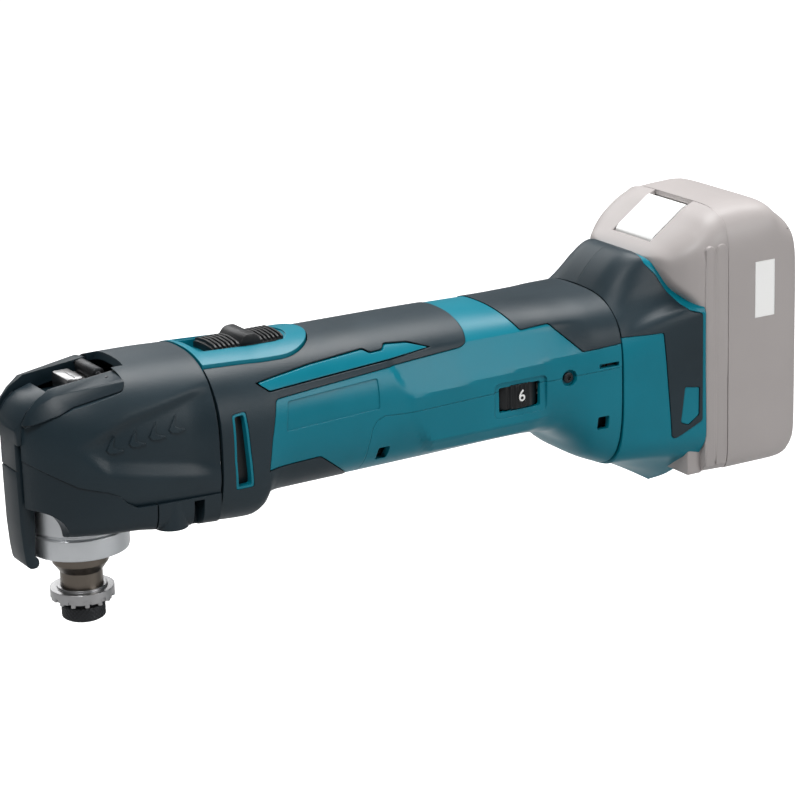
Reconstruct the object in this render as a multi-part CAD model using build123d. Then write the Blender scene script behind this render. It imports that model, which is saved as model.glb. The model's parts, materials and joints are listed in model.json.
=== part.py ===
from build123d import *
import os

# Cordless oscillating multi-tool. Millimetres, +Z up. The origin is on the output
# spindle's axis in the plane where an accessory seats, and +X runs to the battery.

# ---- Overall layout ---------------------------------------------------------
AXIS_Z = 58.6  # height of the motor and handle axis
HEAD_GAP_X = 45.0  # seam between the head and the handle
REAR_GAP_X = 224.6  # seam between the handle and the battery carrier
SEAM = 1.0  # width of both seams
FLANGE_X = 262.4  # rear face of the battery carrier
CARRIER_HALF = 38.0  # half width of the battery carrier at its flange
CARRIER_BOTTOM = -4.4
HUMP_HALF = 21.5  # half width of the hump on the battery carrier
WALL = 3.0  # plastic wall, with or without its rubber
RUBBER = 1.4  # rubber thickness over the plastic
GAP = 0.25  # clearance between neighbouring trim pieces

# ---- Output spindle and accessory holder -------------------------------------
COLLAR_R = 19.06
COLLAR_BOTTOM = 19.5
RING_R = 12.2
PIN_CIRCLE_R = 10.0
PIN_R = 0.9
PIN_COUNT = 12
PIN_DEPTH = 1.6
SPINDLE_R = 10.7
NECK_R = 8.1
BOLT_HEAD_R = 8.2
BOLT_SHANK_R = 4.0
SPINDLE_BORE_R = 4.06
RUN_CLEAR = 0.05  # radial running clearance

# ---- Lock lever ----------------------------------------------------------------
PIVOT_X = 8.5
PIVOT_Z = 87.6
PIVOT_R = 2.0
FORK_INNER = 11.8  # half width of the channel between the fork's arms
CAM_R = 3.2
CAM_OFFSET = 0.9
LEVER_REAR_R = 5.4
ARM_HALF = 7.3  # half width of the plate in front of the head

# ---- Motor ---------------------------------------------------------------------
MOTOR_R = 20.5
MOTOR_X0 = 66.0
MOTOR_X1 = 122.0
SHAFT_R = 2.5
ECCENTRIC = 0.67
ECC_X = 24.0
YOKE_HALF = 5.8  # half the gap between the swing fork's arms
SCREW_SPOTS = [(y, AXIS_Z + z) for y in (-17.0, 17.0) for z in (-15.0, 15.0)]  # head screws

# ---- Handle fittings -------------------------------------------------------------
DIAL_AXIS = (177.6, -17.4)
POCKET_Y = 24.4  # the upright screws that hold the lower housing
POCKET_X = (119.0, 214.0)

# ---- Battery -------------------------------------------------------------------
BATT_HALF = 37.5
BATT_BOTTOM = 7.8
BATT_TOP = 115.5
BATT_BACK = 310.0
BATT_SEAM_X = 274.0
BATT_FRONT = 256.0
NOSE_TIP = (247.6, 97.9)
BUTTON_HALF = 13.0
BLADE_Y = (-9.0, 9.0)  # the two terminal blades
PLAY = 0.4  # sliding play between the battery and its carrier

# Stations of each outer form: x, half width, bottom, top
HANDLE_STATIONS = [
    (HEAD_GAP_X + SEAM / 2, 33.0, 25.6, 90.5),
    (84.0, 31.4, 26.6, 89.8),
    (140.0, 30.8, 27.6, 89.2),
    (190.0, 31.6, 27.8, 88.8),
    (REAR_GAP_X - SEAM / 2, 34.0, 27.8, 88.2),
]
CHIN_STATIONS = [
    (HEAD_GAP_X + SEAM / 2, 26.0, 23.6, 60.0),
    (62.0, 24.0, 21.8, 60.0),
    (73.5, 22.0, 22.6, 60.0),
    (79.0, 21.0, 27.0, 60.0),
]
FOOT_STATIONS = [
    (192.0, 29.6, 27.8, 76.0),
    (206.0, 31.4, 21.6, 76.0),
    (REAR_GAP_X - SEAM / 2, 33.2, 13.8, 76.0),
]
HEAD_STATIONS = [
    (-22.4, 14.5, 38.0, 83.5),
    (-18.0, 20.0, 35.0, 87.8),
    (-12.0, 24.6, 32.6, 90.2),
    (-3.0, 28.8, 31.2, 91.4),
    (8.0, 31.2, 30.6, 91.6),
    (HEAD_GAP_X - SEAM / 2, 33.0, 27.8, 90.6),
]
HANDLE_CORNER = 24.0
CHIN_CORNER = 12.0
FOOT_CORNER = 20.0
HEAD_CORNER = 23.0

# ---- Helpers -------------------------------------------------------------------
def block(x0, x1, y0, y1, z0, z1):
    size = Box(x1 - x0, y1 - y0, z1 - z0)
    return Pos((x0 + x1) / 2, (y0 + y1) / 2, (z0 + z1) / 2) * size


def side_prism(points, y0, y1):
    """An outline in X and Z, extruded along Y."""
    face = make_face(Polyline(*[(x, y0, z) for x, z in points], close=True))
    return extrude(face, amount=y1 - y0, dir=(0, 1, 0))


def rod_x(radius, x0, x1, y=0.0, z=AXIS_Z):
    return Pos((x0 + x1) / 2, y, z) * Rot(0, 90, 0) * Cylinder(radius, x1 - x0)


def rod_y(radius, y0, y1, x, z):
    return Pos(x, (y0 + y1) / 2, z) * Rot(90, 0, 0) * Cylinder(radius, y1 - y0)


def rod_z(radius, z0, z1, x=0.0, y=0.0):
    return Pos(x, y, (z0 + z1) / 2) * Cylinder(radius, z1 - z0)


def tube_x(outer, inner, x0, x1, y=0.0, z=AXIS_Z):
    return rod_x(outer, x0, x1, y, z) - rod_x(inner, x0 - 1, x1 + 1, y, z)


def tube_z(outer, inner, z0, z1, x=0.0, y=0.0):
    return rod_z(outer, z0, z1, x, y) - rod_z(inner, z0 - 1, z1 + 1, x, y)


def form(stations, corner, inset, overrun=0.0):
    """A rounded bar trimmed by a side and a plan outline; inset shrinks it, overrun moves its ends."""
    first, last = stations[0], stations[-1]
    stations = [(first[0] - overrun, *first[1:]), *stations[1:-1], (last[0] + overrun, *last[1:])]
    x0, x1 = stations[0][0], stations[-1][0]
    lower = [(x, bottom + inset) for x, _, bottom, _ in stations]
    upper = [(x, top - inset) for x, _, _, top in stations]
    side = side_prism(lower + upper[::-1], -60, 60)
    left = [(x, -half + inset, -20) for x, half, _, _ in stations]
    right = [(x, half - inset, -20) for x, half, _, _ in stations]
    plan = extrude(make_face(Polyline(*left, *right[::-1], close=True)), amount=140, dir=(0, 0, 1))
    half = max(s[1] for s in stations) - inset
    low = min(s[2] for s in stations) + inset
    high = max(s[3] for s in stations) - inset
    bar = RectangleRounded(2 * half, high - low, corner - inset)
    return extrude(Plane.YZ.offset(x0) * Pos(0, (high + low) / 2) * bar, x1 - x0) & side & plan


def head_form(inset, overrun=0.0):
    return form(HEAD_STATIONS, HEAD_CORNER, inset, overrun)


def handle_form(inset, overrun=0.0):
    bar = form(HANDLE_STATIONS, HANDLE_CORNER, inset, overrun)
    chin = form(CHIN_STATIONS, CHIN_CORNER, inset, overrun)
    foot = form(FOOT_STATIONS, FOOT_CORNER, inset, overrun)
    return bar + chin + foot


def save(shape, name):
    export_step(shape, f"parts/{name}.step")


# ---- Head ------------------------------------------------------------------------
def lever_outline(grow=0.0):
    """The lock lever's side outline: a fork that narrows to its pivot."""
    fork = side_prism(
        [
            (PIVOT_X, 82.4 - grow),
            (-22.0, 75.2 - grow),
            (-30.0, 73.0 - grow),
            (-30.0, 100.0),
            (PIVOT_X, 100.0),
        ],
        -40,
        40,
    )
    return fork + rod_y(LEVER_REAR_R + grow, -40, 40, PIVOT_X, PIVOT_Z)


def head_parts():
    """The rubber boot over the gear housing, and the hard cover below it."""
    outer = head_form(0)
    inner = head_form(WALL, 2.0) & block(-19.6, 60, -60, 60, 0, 120)
    channel = block(-40, 16, -FORK_INNER, FORK_INNER, 78.5, 100)
    lever_room = lever_outline(GAP) & block(-45, 20, -40, 40, 50, 110)
    arm_slot = block(-40, -19.2, -8.6, 8.6, 10, 80)
    skin = outer - inner

    # The rubber boot ends on an S-shaped line above the lower cover.
    boot_zone = side_prism(
        [
            (-40, 68),
            (-27, 62),
            (-20, 57.5),
            (-10, 51.5),
            (1, 48.5),
            (6, 45),
            (9.5, 41),
            (HEAD_GAP_X + 2, 40.5),
            (HEAD_GAP_X + 2, 100),
            (-40, 100),
        ],
        -45,
        45,
    )
    collar_bore = rod_z(COLLAR_R + GAP, 10, 56)
    window_outline = [(-40, 20), (-40, 48), (-20, 48), (-15.5, 42), (-13.5, 34), (-12.6, 20)]
    front_window = side_prism(window_outline, -40, 40)
    collar_wrap = tube_z(21.2, COLLAR_R + GAP, 30.6, 46)
    light_pocket = block(33.2, 37.2, -12, 12, 20, 36)
    boot = (skin & boot_zone) - (channel + lever_room + arm_slot)
    cover = skin - (boot_zone + collar_bore + front_window + arm_slot + light_pocket)
    cover += collar_wrap - front_window - arm_slot - (inner & block(0, 60, -40, 40, 20, 60))
    return boot, cover


def gear_housing():
    """The aluminium housing: nose collar, bearing seats, side walls and lever lugs."""
    nose = tube_z(COLLAR_R, 16.0, COLLAR_BOTTOM, 50) + tube_z(16.2, 15.02, 21, 50)
    nose += tube_z(COLLAR_R, 11.4, COLLAR_BOTTOM, 21)
    roof = tube_z(COLLAR_R, 9.5, 66, 78) + tube_z(COLLAR_R - 0.5, 11.02, 49, 66)
    ledge = tube_z(9.6, 4.0, 65.9, 66.7)
    window = block(0, 45, -10.2, 10.2, 49.5, 65.9)
    neck = tube_x(26.0, 22.5, 19, HEAD_GAP_X - 0.5) - block(10, 60, -40, 40, 20, 33.5)
    plate = rod_x(26.0, HEAD_GAP_X - 4, HEAD_GAP_X - 0.5) - rod_x(8.02, 30, 60)
    plate = plate - block(30, 60, -40, 40, 20, 33.5)
    walls = block(14, 22, -20, 20, 40, 78) - block(10, 24, -16, 16, 44, 74)
    body = nose + roof + ledge + walls + neck + plate - window - rod_z(15.5, 49, 49.4)
    for y in (-11.4, 8.4):
        body += block(4.5, 14, y, y + 3, 76, 90.4)
    body -= rod_y(PIVOT_R + RUN_CLEAR, -30, 30, PIVOT_X, PIVOT_Z)
    body -= block(-8, 4.2, -11.2, 11.2, 77.9, 100)
    for y, z in SCREW_SPOTS:
        body -= rod_x(2.2, 30, 60, y, z)
    return body - block(-30, -18.9, -10, 10, 10, 90)


def lever_parts():
    """The lock lever, its pivot pin and the steel cam between the housing's lugs."""
    arms = head_form(0) & lever_outline()
    arms -= block(-40, 20, -FORK_INNER, FORK_INNER, 50, 110) + rod_z(COLLAR_R + 0.4, 50, 78.3)
    # The web joins the arms, and the long plate hangs in front of the head.
    web_outline = [
        (-24.8, 62),
        (-24.8, 75),
        (-22.0, 82.0),
        (-15.5, 87.8),
        (-12.0, 86.0),
        (-19.8, 80.0),
        (-22.8, 76.4),
        (-22.8, 62),
    ]
    web = side_prism(web_outline, -FORK_INNER - 2.6, FORK_INNER + 2.6)
    plate = side_prism(
        [
            (-24.8, 66),
            (-24.6, 32),
            (-23.4, 24),
            (-21.6, 19.4),
            (-20.2, 18.6),
            (-19.3, 19.4),
            (-19.3, 21.2),
            (-20.4, 22.4),
            (-19.7, 32),
            (-19.7, 60),
            (-22.8, 66),
        ],
        -ARM_HALF,
        ARM_HALF,
    )
    lever = arms + web + plate
    lever -= rod_y(PIVOT_R, -15.5, 15.5, PIVOT_X, PIVOT_Z)
    pin = rod_y(PIVOT_R, -15.5, 15.5, PIVOT_X, PIVOT_Z)
    cam = rod_y(CAM_R, -7.8, 7.8, PIVOT_X, PIVOT_Z + CAM_OFFSET)
    cam -= rod_y(PIVOT_R, -10, 10, PIVOT_X, PIVOT_Z)
    return lever, pin, cam


def clamp_shaft():
    """The rod that grips the holder bolt, with the crosshead that the cam presses."""
    rod = rod_z(3.4, 29, 81) + rod_z(5.4, 22.6, 30) + rod_z(6.2, 77.1, 78.6)
    head = block(-4.2, 4.0, -10.5, 10.5, 80.8, 88.6)
    head = fillet(head.edges().filter_by(Axis.Y).group_by(Axis.Z)[-1], 1.6)
    tail = block(0, 12.5, -7.4, 7.4, 82.3, PIVOT_Z + CAM_OFFSET - CAM_R - 0.05)
    return rod + head + tail


def clamp_spring():
    """The coil that holds the clamp shaft up, round the shaft in the housing's roof."""
    coil = Helix(pitch=3.0, height=9.0, radius=5.6)
    return Pos(0, 0, 67.4) * sweep(Plane(coil @ 0, z_dir=coil % 0) * Circle(0.6), path=coil)


def spindle_parts():
    tube = rod_z(7.6, 3.02, 64) + rod_z(SPINDLE_R, 14.2, 19.3)
    tube += Pos(0, 0, 12.4) * Cone(NECK_R, SPINDLE_R, 3.6)
    tube += rod_z(NECK_R, 4.02, 10.8)
    tube -= rod_z(SPINDLE_BORE_R, 0, 21)
    tube -= rod_z(5.7, 20.5, 70)
    ring = tube_z(RING_R, SPINDLE_BORE_R, 0, 4.0) + tube_z(9.5, NECK_R + 0.02, 3.9, 4.8)
    ring -= rod_z(7.62, 3.0, 30)
    for k in range(PIN_COUNT):
        turn = Rot(0, 0, 360 / PIN_COUNT * (k + 0.5))
        ring -= turn * Pos(RING_R + 0.6, 0, 0) * Box(2.6, 2.6, 3.0)
        ring += turn * rod_z(PIN_R, -PIN_DEPTH, 0.6, PIN_CIRCLE_R)
    fork = tube_z(10.4, 7.6, 53, 62.5)
    for side in (-1, 1):
        y0, y1 = sorted((side * 9.0, side * YOKE_HALF))
        fork += block(8.5, 28.0, y0, y1, 54, 62.5)
    fork += block(6.5, 11.0, -9, 9, 54, 62.5)
    fork -= rod_z(7.6, 40, 70)
    return tube, ring, fork


def holder_bolt():
    head = rod_z(BOLT_HEAD_R, -8.6, -2.4)
    head = chamfer(head.edges().group_by(Axis.Z)[0], 1.2)
    neck = rod_z(6.4, -2.5, -1.7)
    shank = rod_z(BOLT_SHANK_R, -2.0, 17.5) + Pos(0, 0, 18.4) * Cone(BOLT_SHANK_R, 2.6, 1.8)
    groove = tube_z(6.0, 3.1, 12.6, 14.2)
    bolt = head + neck + (shank - groove)
    return bolt - Pos(0, 0, -8.6) * extrude(RegularPolygon(3.0, 6), 3.2)


def ball_bearing_z(inner, outer, z0, z1):
    rings = tube_z(outer, outer - 1.3, z0, z1) + tube_z(inner + 1.3, inner, z0, z1)
    return rings + tube_z(outer - 1.2, inner + 1.2, z0 + 0.5, z1 - 0.5)


def ball_bearing_x(inner, outer, x0, x1, y=0.0, z=AXIS_Z):
    rings = tube_x(outer, outer - 1.3, x0, x1, y, z) + tube_x(inner + 1.3, inner, x0, x1, y, z)
    return rings + tube_x(outer - 1.2, inner + 1.2, x0 + 0.5, x1 - 0.5, y, z)


# ---- Motor -----------------------------------------------------------------------
def motor_parts():
    can = tube_x(MOTOR_R, 18.2, MOTOR_X0, MOTOR_X1)
    can += tube_x(MOTOR_R, 8.05, MOTOR_X1 - 0.1, MOTOR_X1 + 2)
    magnets = []
    half = tube_x(18.1, 15.6, MOTOR_X0 + 14, MOTOR_X1 - 8)
    for side in (-1, 1):
        y0, y1 = sorted((side * 5.0, side * 30.0))
        magnets.append(half & block(0, 200, y0, y1, 0, 120))
    shaft = rod_x(SHAFT_R, 30.6, MOTOR_X1 + 8)
    slots = 10
    core = rod_x(14.9, 82, 108)
    for k in range(slots):
        turn = Pos(0, 0, AXIS_Z) * Rot(360 / slots * k, 0, 0)
        core -= turn * Pos(95, 0, 14.6) * Box(28, 2.0, 2.6)
        core -= turn * Pos(95, 0, 10.4) * Box(28, 4.6, 5.0)
    core -= rod_x(SHAFT_R, 70, 120)
    windings = tube_x(12.6, SHAFT_R + 1.2, 76.5, 81.9) + tube_x(12.6, SHAFT_R + 1.2, 108.1, 112.5)
    commutator = tube_x(8.0, SHAFT_R, 113.2, 120.4)
    bars = 10
    for k in range(bars):
        turn = Pos(0, 0, AXIS_Z) * Rot(360 / bars * (k + 0.5), 0, 0)
        commutator -= turn * Pos(116.8, 0, 8.0) * Box(7.4, 0.6, 1.6)
    fan = rod_x(6.2, 66.5, 75.5) + tube_x(17.6, 5.8, 73.8, 75.2)
    blades = 11
    for k in range(blades):
        turn = Pos(0, 0, AXIS_Z) * Rot(360 / blades * k, 0, 0)
        fan += turn * Pos(70.6, 0, 11.6) * Rot(0, 0, 24) * Box(6.8, 1.2, 12.0)
    fan -= rod_x(SHAFT_R, 60, 80)
    brushes = []
    holders = []
    for side in (-1, 1):
        z0, z1 = sorted((AXIS_Z + side * 8.06, AXIS_Z + side * 14.5))
        brushes.append(block(114, 120, -2.6, 2.6, z0, z1))
        z0, z1 = sorted((AXIS_Z + side * 9.0, AXIS_Z + side * 17.6))
        s0, s1 = sorted((AXIS_Z + side * 5.0, AXIS_Z + side * 15.6))
        sleeve = block(112.9, 121.1, -3.8, 3.8, z0, z1) - block(113.9, 120.1, -2.7, 2.7, s0, s1)
        holders.append(sleeve)
    return can, magnets, shaft, core, windings, commutator, fan, brushes, holders


def eccentric_parts():
    """The shaft's offset journal and the ball bearing that the fork straddles."""
    journal = AXIS_Z + ECCENTRIC
    sleeve = rod_x(5.2, 29.2, 38.0) + rod_x(3.0, ECC_X - 4.2, 29.4, z=journal)
    sleeve -= rod_x(SHAFT_R, 30.5, 40)
    bearing = ball_bearing_x(3.0, 5.0, ECC_X - 3.6, ECC_X + 0.8, z=journal)
    return sleeve, bearing


# ---- Handle ----------------------------------------------------------------------
def lower_zone(shift):
    """The part of the handle that belongs to the lower housing, in side view."""
    return side_prism(
        [
            (108.6 + shift, 0),
            (109.4 + shift, 48),
            (111.6 + shift, 54.6 - shift),
            (114.6 + shift, 57.3 - shift),
            (126.0, 56.2 - shift),
            (REAR_GAP_X + 2, 58.6 - shift),
            (REAR_GAP_X + 2, 0),
        ],
        -45,
        45,
    )


def front_grip_zone():
    band = side_prism(
        [
            (HEAD_GAP_X, 0),
            (79.0, 0),
            (78.0, 26),
            (66.5, 36),
            (64.6, 46),
            (66.5, 57),
            (70.2, 72.4),
            (154.0, 77.0),
            (158.6, 85.0),
            (158.0, 100),
            (HEAD_GAP_X, 100),
        ],
        -45,
        45,
    )
    inlay = side_prism(
        [
            (64.3, 78.4),
            (68.4, 75.0),
            (122.0, 77.8),
            (140.0, 79.2),
            (132.0, 81.6),
            (122.4, 82.4),
            (120.6, 80.6),
            (114.8, 80.4),
            (112.4, 82.0),
            (88.0, 80.6),
        ],
        -45,
        45,
    )
    return band, inlay


def panel_zone(grow):
    """The switch panel on top of the handle, with a half-round rear end."""
    half = 19.4 + grow
    flat = block(HEAD_GAP_X + SEAM / 2 - 0.01, 79.5, -half, half, 80, 100)
    return flat + rod_z(half, 80, 100, 79.5)


def handle_parts():
    """Upper and lower housings with the rubber, the trim and the switch panel let into them."""
    outer = handle_form(0)
    under_rubber = handle_form(RUBBER)
    inner = handle_form(WALL, 1.0)
    layer = outer - under_rubber
    wall = outer - inner

    band, inlay = front_grip_zone()
    rear_patch = side_prism(
        [
            (175.0, 100),
            (177.5, 86),
            (182.0, 79.0),
            (195.0, 79.4),
            (206.6, 67.6),
            (REAR_GAP_X + 2, 68.6),
            (REAR_GAP_X + 2, 100),
        ],
        -45,
        45,
    )
    belly = side_prism(
        [
            (79.2, 0),
            (78.2, 26),
            (66.8, 36.2),
            (64.9, 45.4),
            (88.5, 46),
            (104.5, 33.5),
            (106, 0),
        ],
        -45,
        45,
    )
    vents = side_prism([(51, 40), (50.4, 70), (56.4, 70.4), (58.8, 40)], -45, 45)
    vent_hole = side_prism([(52.2, 41.4), (51.6, 68.6), (55.6, 69), (57.4, 41.4)], -45, 45)
    flanks = block(0, 300, -60, -14, 0, 120) + block(0, 300, 14, 60, 0, 120)
    panel_hole = panel_zone(0)

    front_grip = layer & (band - (inlay & flanks) - panel_hole - vents)
    rear_grip = layer & rear_patch
    belly_strip = layer & belly
    inlays = layer & (inlay & flanks)
    frames = wall & (vents & flanks) - vent_hole

    cuts = panel_hole + vents + block(167.8, 187.4, -40, -20, 48.6, 60.0)
    cuts = cuts + rod_y(2.2, -45, 45, 200, 58.0)
    for side in (-1, 1):
        y0, y1 = sorted((side * 45.0, side * 31.6))
        cuts = cuts + block(213.4, 223.0, y0, y1, 59.4, 61.6)
        for x in POCKET_X:
            cuts = cuts + rod_z(2.6, 0, 46, x, side * POCKET_Y)
    hard = (outer - (band + rear_patch + belly)) + under_rubber
    hard = hard - (inner + cuts)
    lower = hard & lower_zone(0.12)
    upper = hard - lower_zone(0)

    raised = form(HANDLE_STATIONS, HANDLE_CORNER, -1.6) - form(HANDLE_STATIONS, HANDLE_CORNER, WALL)
    slot = block(50.0, 86.5, -9.2, 9.2, 80, 110)
    panel = (raised & panel_zone(-GAP)) - slot
    return upper, lower, front_grip, rear_grip, belly_strip, inlays, frames, panel


def slider_parts():
    """The thumb slide: a ribbed saddle with a raised centre block, and its link rod."""
    body = block(55.6, 85.6, -8.6, 8.6, 86.4, 89.2)
    for k in range(5):
        for x in (57.2 + 2.6 * k, 75.2 + 2.4 * k - 0.2):
            body += block(x, x + 1.3, -8.2, 8.2, 89.0, 91.6)
    ridge = [(68.0, 89), (66.8, 93.0), (69.2, 96.6), (74.0, 96.6), (76.4, 93.0), (75.2, 89)]
    body += side_prism(ridge, -8.2, 8.2)
    foot = block(66, 76, -4, 4, 81.5, 86.6)
    rod = block(72.5, 132, -2.2, 2.2, 80.2, 81.5) + block(64, 76, -3.4, 3.4, 80.2, 81.5)
    hook = block(129.5, 132, -2.2, 2.2, 75, 80.4)
    return body + foot, rod + hook


def dial_parts():
    """The speed wheel on an upright axis, with a fluted edge, and its potentiometer."""
    wheel = rod_z(14.2, 49.4, 59.2, *DIAL_AXIS)
    flutes = 36
    for k in range(flutes):
        turn = Pos(*DIAL_AXIS, 54.3) * Rot(0, 0, 360 / flutes * k)
        wheel -= turn * Pos(14.4, 0, 0) * Box(0.8, 0.7, 12)
    wheel -= rod_z(2.05, 40, 70, *DIAL_AXIS)
    post = rod_z(2.0, 44.2, 61.0, *DIAL_AXIS) + block(168, 188, -27, -10, 61.0, 62.6)
    return wheel, post


# ---- Battery carrier -------------------------------------------------------------
def carrier_form(inset):
    """The carrier's outside: a side outline, a plan outline and a rounded end view, crossed."""
    front = REAR_GAP_X + SEAM / 2
    side = side_prism(
        [
            (front, 13.6 + inset),
            (front, 87.6 - inset),
            (238.0, 83.6 - inset),
            (250.0, 79.6 - inset),
            (FLANGE_X, 77.8 - inset),
            (FLANGE_X, CARRIER_BOTTOM + inset),
            (250.0, CARRIER_BOTTOM + inset),
            (237.0, 3.4 + inset),
        ],
        -60,
        60,
    )
    plan = extrude(
        make_face(
            Polyline(
                (front, -34.4 + inset, -20),
                (FLANGE_X, -CARRIER_HALF + inset, -20),
                (FLANGE_X, CARRIER_HALF - inset, -20),
                (front, 34.4 - inset, -20),
                close=True,
            )
        ),
        amount=140,
        dir=(0, 0, 1),
    )
    width, height = 2 * (CARRIER_HALF - inset), 92.0 - CARRIER_BOTTOM - 2 * inset
    middle = (92.0 + CARRIER_BOTTOM) / 2
    end_view = Plane.YZ.offset(200) * Pos(0, middle) * RectangleRounded(width, height, 20)
    body = side & plan & extrude(end_view, 100)
    return body + hump(inset)


def hump(inset):
    """The raised back that reaches over the handle's end to meet the battery's nose."""
    outline = [
        (REAR_GAP_X + SEAM / 2, 62),
        (REAR_GAP_X + SEAM / 2, 86.6 - inset),
        (238.0, 96.4 - inset),
        (246.6, 97.2 - inset),
        (256.0, 84.0 - inset),
        (FLANGE_X, 76.8 - inset),
        (FLANGE_X, 62),
    ]
    solid = side_prism(outline, -HUMP_HALF + inset, HUMP_HALF - inset)
    edge_y = HUMP_HALF - inset - 0.1
    rims = [e for e in solid.edges() if abs(e.center().Y) > edge_y and e.center().Z > 78]
    return fillet(rims, 5.0)


def carrier_parts():
    """Left and right halves of the battery carrier, each with its rubber cushion."""
    outer = carrier_form(0)
    under = carrier_form(RUBBER)
    layer = outer - under - block(200, REAR_GAP_X + SEAM / 2, -60, 60, -20, 120)
    socket = block(254.6, 270, -34.6, 34.6, 6.4, 140)
    room = block(220, 250.6, -28, 28, 22, 76) + block(236, 250.6, -30, 30, 14, 72)
    room = room + block(250, 256, -16, 16, 30, 66)
    rubber_zone = side_prism(
        [
            (220, 70.6),
            (243.2, 70.4),
            (247.0, 25.4),
            (260.4, 30.6),
            (260.4, 76.0),
            (254.6, 79.6),
            (244.4, 95.4),
            (243.0, 110),
            (220, 110),
        ],
        -60,
        60,
    )
    plate_outline = [(252.4, 46.6), (250.6, 30.4), (254.0, 29.6), (259.6, 33.4), (259.6, 45.6)]
    rubber_zone = rubber_zone - side_prism(plate_outline, -60, 60)
    rubber = layer & (rubber_zone - socket)
    hard = (outer - rubber_zone) + under
    hard = hard - (room + socket)
    halves = []
    cushions = []
    for y0, y1 in ((-60, -0.05), (0.05, 60)):
        half = block(200, 300, y0, y1, -30, 130)
        halves.append(hard & half)
        cushions.append(rubber & half)
    return halves, cushions


# ---- Battery ---------------------------------------------------------------------
def battery_profile(inset):
    i = inset
    return [
        (BATT_FRONT + i, BATT_BOTTOM + 3 + i),
        (BATT_FRONT + i, 78.0),
        (NOSE_TIP[0] + 1.4 * i, NOSE_TIP[1] - 0.2 * i),
        (272.4 + i, BATT_TOP - i),
        (298.0 - i, BATT_TOP - 1.0 - i),
        (306.4 - i, BATT_TOP - 5.4 - i),
        (BATT_BACK - i, BATT_TOP - 14.0),
        (BATT_BACK - i, BATT_BOTTOM + 10),
        (301.0, BATT_BOTTOM + i),
        (262.0 + i, BATT_BOTTOM + i),
    ]


def battery_parts():
    body = side_prism(battery_profile(0), -BATT_HALF, BATT_HALF)
    body = fillet(body.edges().group_by(Axis.Y)[0] + body.edges().group_by(Axis.Y)[-1], 3.0)
    hollow = side_prism(battery_profile(2.4), -BATT_HALF + 2.4, BATT_HALF - 2.4)
    # The front narrows to a tongue between the carrier's side walls and over its hump.
    trims = []
    for side in (-1, 1):
        y0, y1 = sorted((side * (34.6 - PLAY), side * 60))
        trims.append(block(240, FLANGE_X + PLAY, y0, y1, 0, 82))
        y0, y1 = sorted((side * 31.0, side * 60))
        trims.append(block(240, FLANGE_X + PLAY, y0, y1, 80, 130))
    under_nose = side_prism([(240, 60), (FLANGE_X + 0.1, 78.6), (247.0, 97.6), (240, 98.2)], -60, 60)
    slot_front = block(240, 254.6 + PLAY + 0.6, -60, 60, 0, 84)
    shell = body - hollow
    solid_nose = body & block(240, FLANGE_X + PLAY, -60, 60, 76, 130)
    shell = shell + (solid_nose - side_prism(battery_profile(2.4), -28, 28))
    for cut in trims + [under_nose, slot_front]:
        shell = shell - cut
    tongue_walls = block(BATT_FRONT, BATT_SEAM_X, -34.2, 34.2, BATT_BOTTOM, 100)
    tongue_walls = tongue_walls & side_prism(battery_profile(0), -60, 60)
    tongue_walls = tongue_walls - side_prism(battery_profile(2.4), -32.7, 32.7) - under_nose
    front = (shell + tongue_walls) & block(240, BATT_SEAM_X - 0.1, -60, 60, 0, 130)
    rear = shell & block(BATT_SEAM_X, 320, -60, 60, 0, 130)
    room_outline = [(253.1, 95.7), (253.1, 100.9), (269.3, 115.5), (278.5, 115.5), (278.5, 95.7)]
    button_room = side_prism(room_outline, -BUTTON_HALF - 0.3, BUTTON_HALF + 0.3)
    front = front - button_room
    rear = rear - button_room
    for y in BLADE_Y:
        front = front - block(250, 262, y - 1.4, y + 1.4, 0, 62)
    return front, rear


def battery_button():
    outer = [
        (254.6, 97.2),
        (254.6, 101.8),
        (270.8, 114.6),
        (273.0, 114.6),
        (273.0, 107.0),
        (262.0, 97.2),
    ]
    inner = [(258, 96), (258, 101), (270.4, 111.4), (275, 111.4), (275, 96)]
    plate = side_prism(outer, -BUTTON_HALF, BUTTON_HALF)
    return plate - side_prism(inner, -BUTTON_HALF + 2.4, BUTTON_HALF - 2.4)


def battery_cells():
    cells = []
    for x in (278.6, 296.9):
        for k in range(5):
            cells.append(rod_y(9.05, -32.5, 32.5, x, 22.0 + 18.5 * k))
    return cells


# ---- Electrics, fasteners and small parts --------------------------------------------
def terminal_block():
    block_body = block(247.2, 254.4, -15.8, 15.8, 30.2, 65.8)
    for y in BLADE_Y:
        block_body += block(254.0, 259.5, y - 0.5, y + 0.5, 34, 58)
    return block_body


def lead_wires():
    wires = []
    for side in (-1, 1):
        wires.append(rod_x(1.1, 124.3, 157.8, side * 12.0, 68.0))
        wires.append(rod_x(1.4, 208.2, 247.0, side * 8.0, 64.0 + 1.6))
    return wires


def housing_screws():
    """The two side screws and the four upright screws of the lower housing."""
    screws = []
    for side in (-1, 1):
        y0, y1 = sorted((side * 29.6, side * 14.0))
        shank = rod_y(1.5, y0, y1, 200, 58.0)
        y0, y1 = sorted((side * 31.0, side * 29.6))
        screws.append(shank + rod_y(2.1, y0, y1, 200, 58.0))
        for x in POCKET_X:
            y = side * POCKET_Y
            screws.append(rod_z(1.6, 38, 55, x, y) + rod_z(2.5, 36.4, 38.2, x, y))
    return screws


def head_screws():
    return [rod_x(2.0, 35, 46, y, z) + rod_x(3.8, 45.2, 48.6, y, z) for y, z in SCREW_SPOTS]


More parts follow.
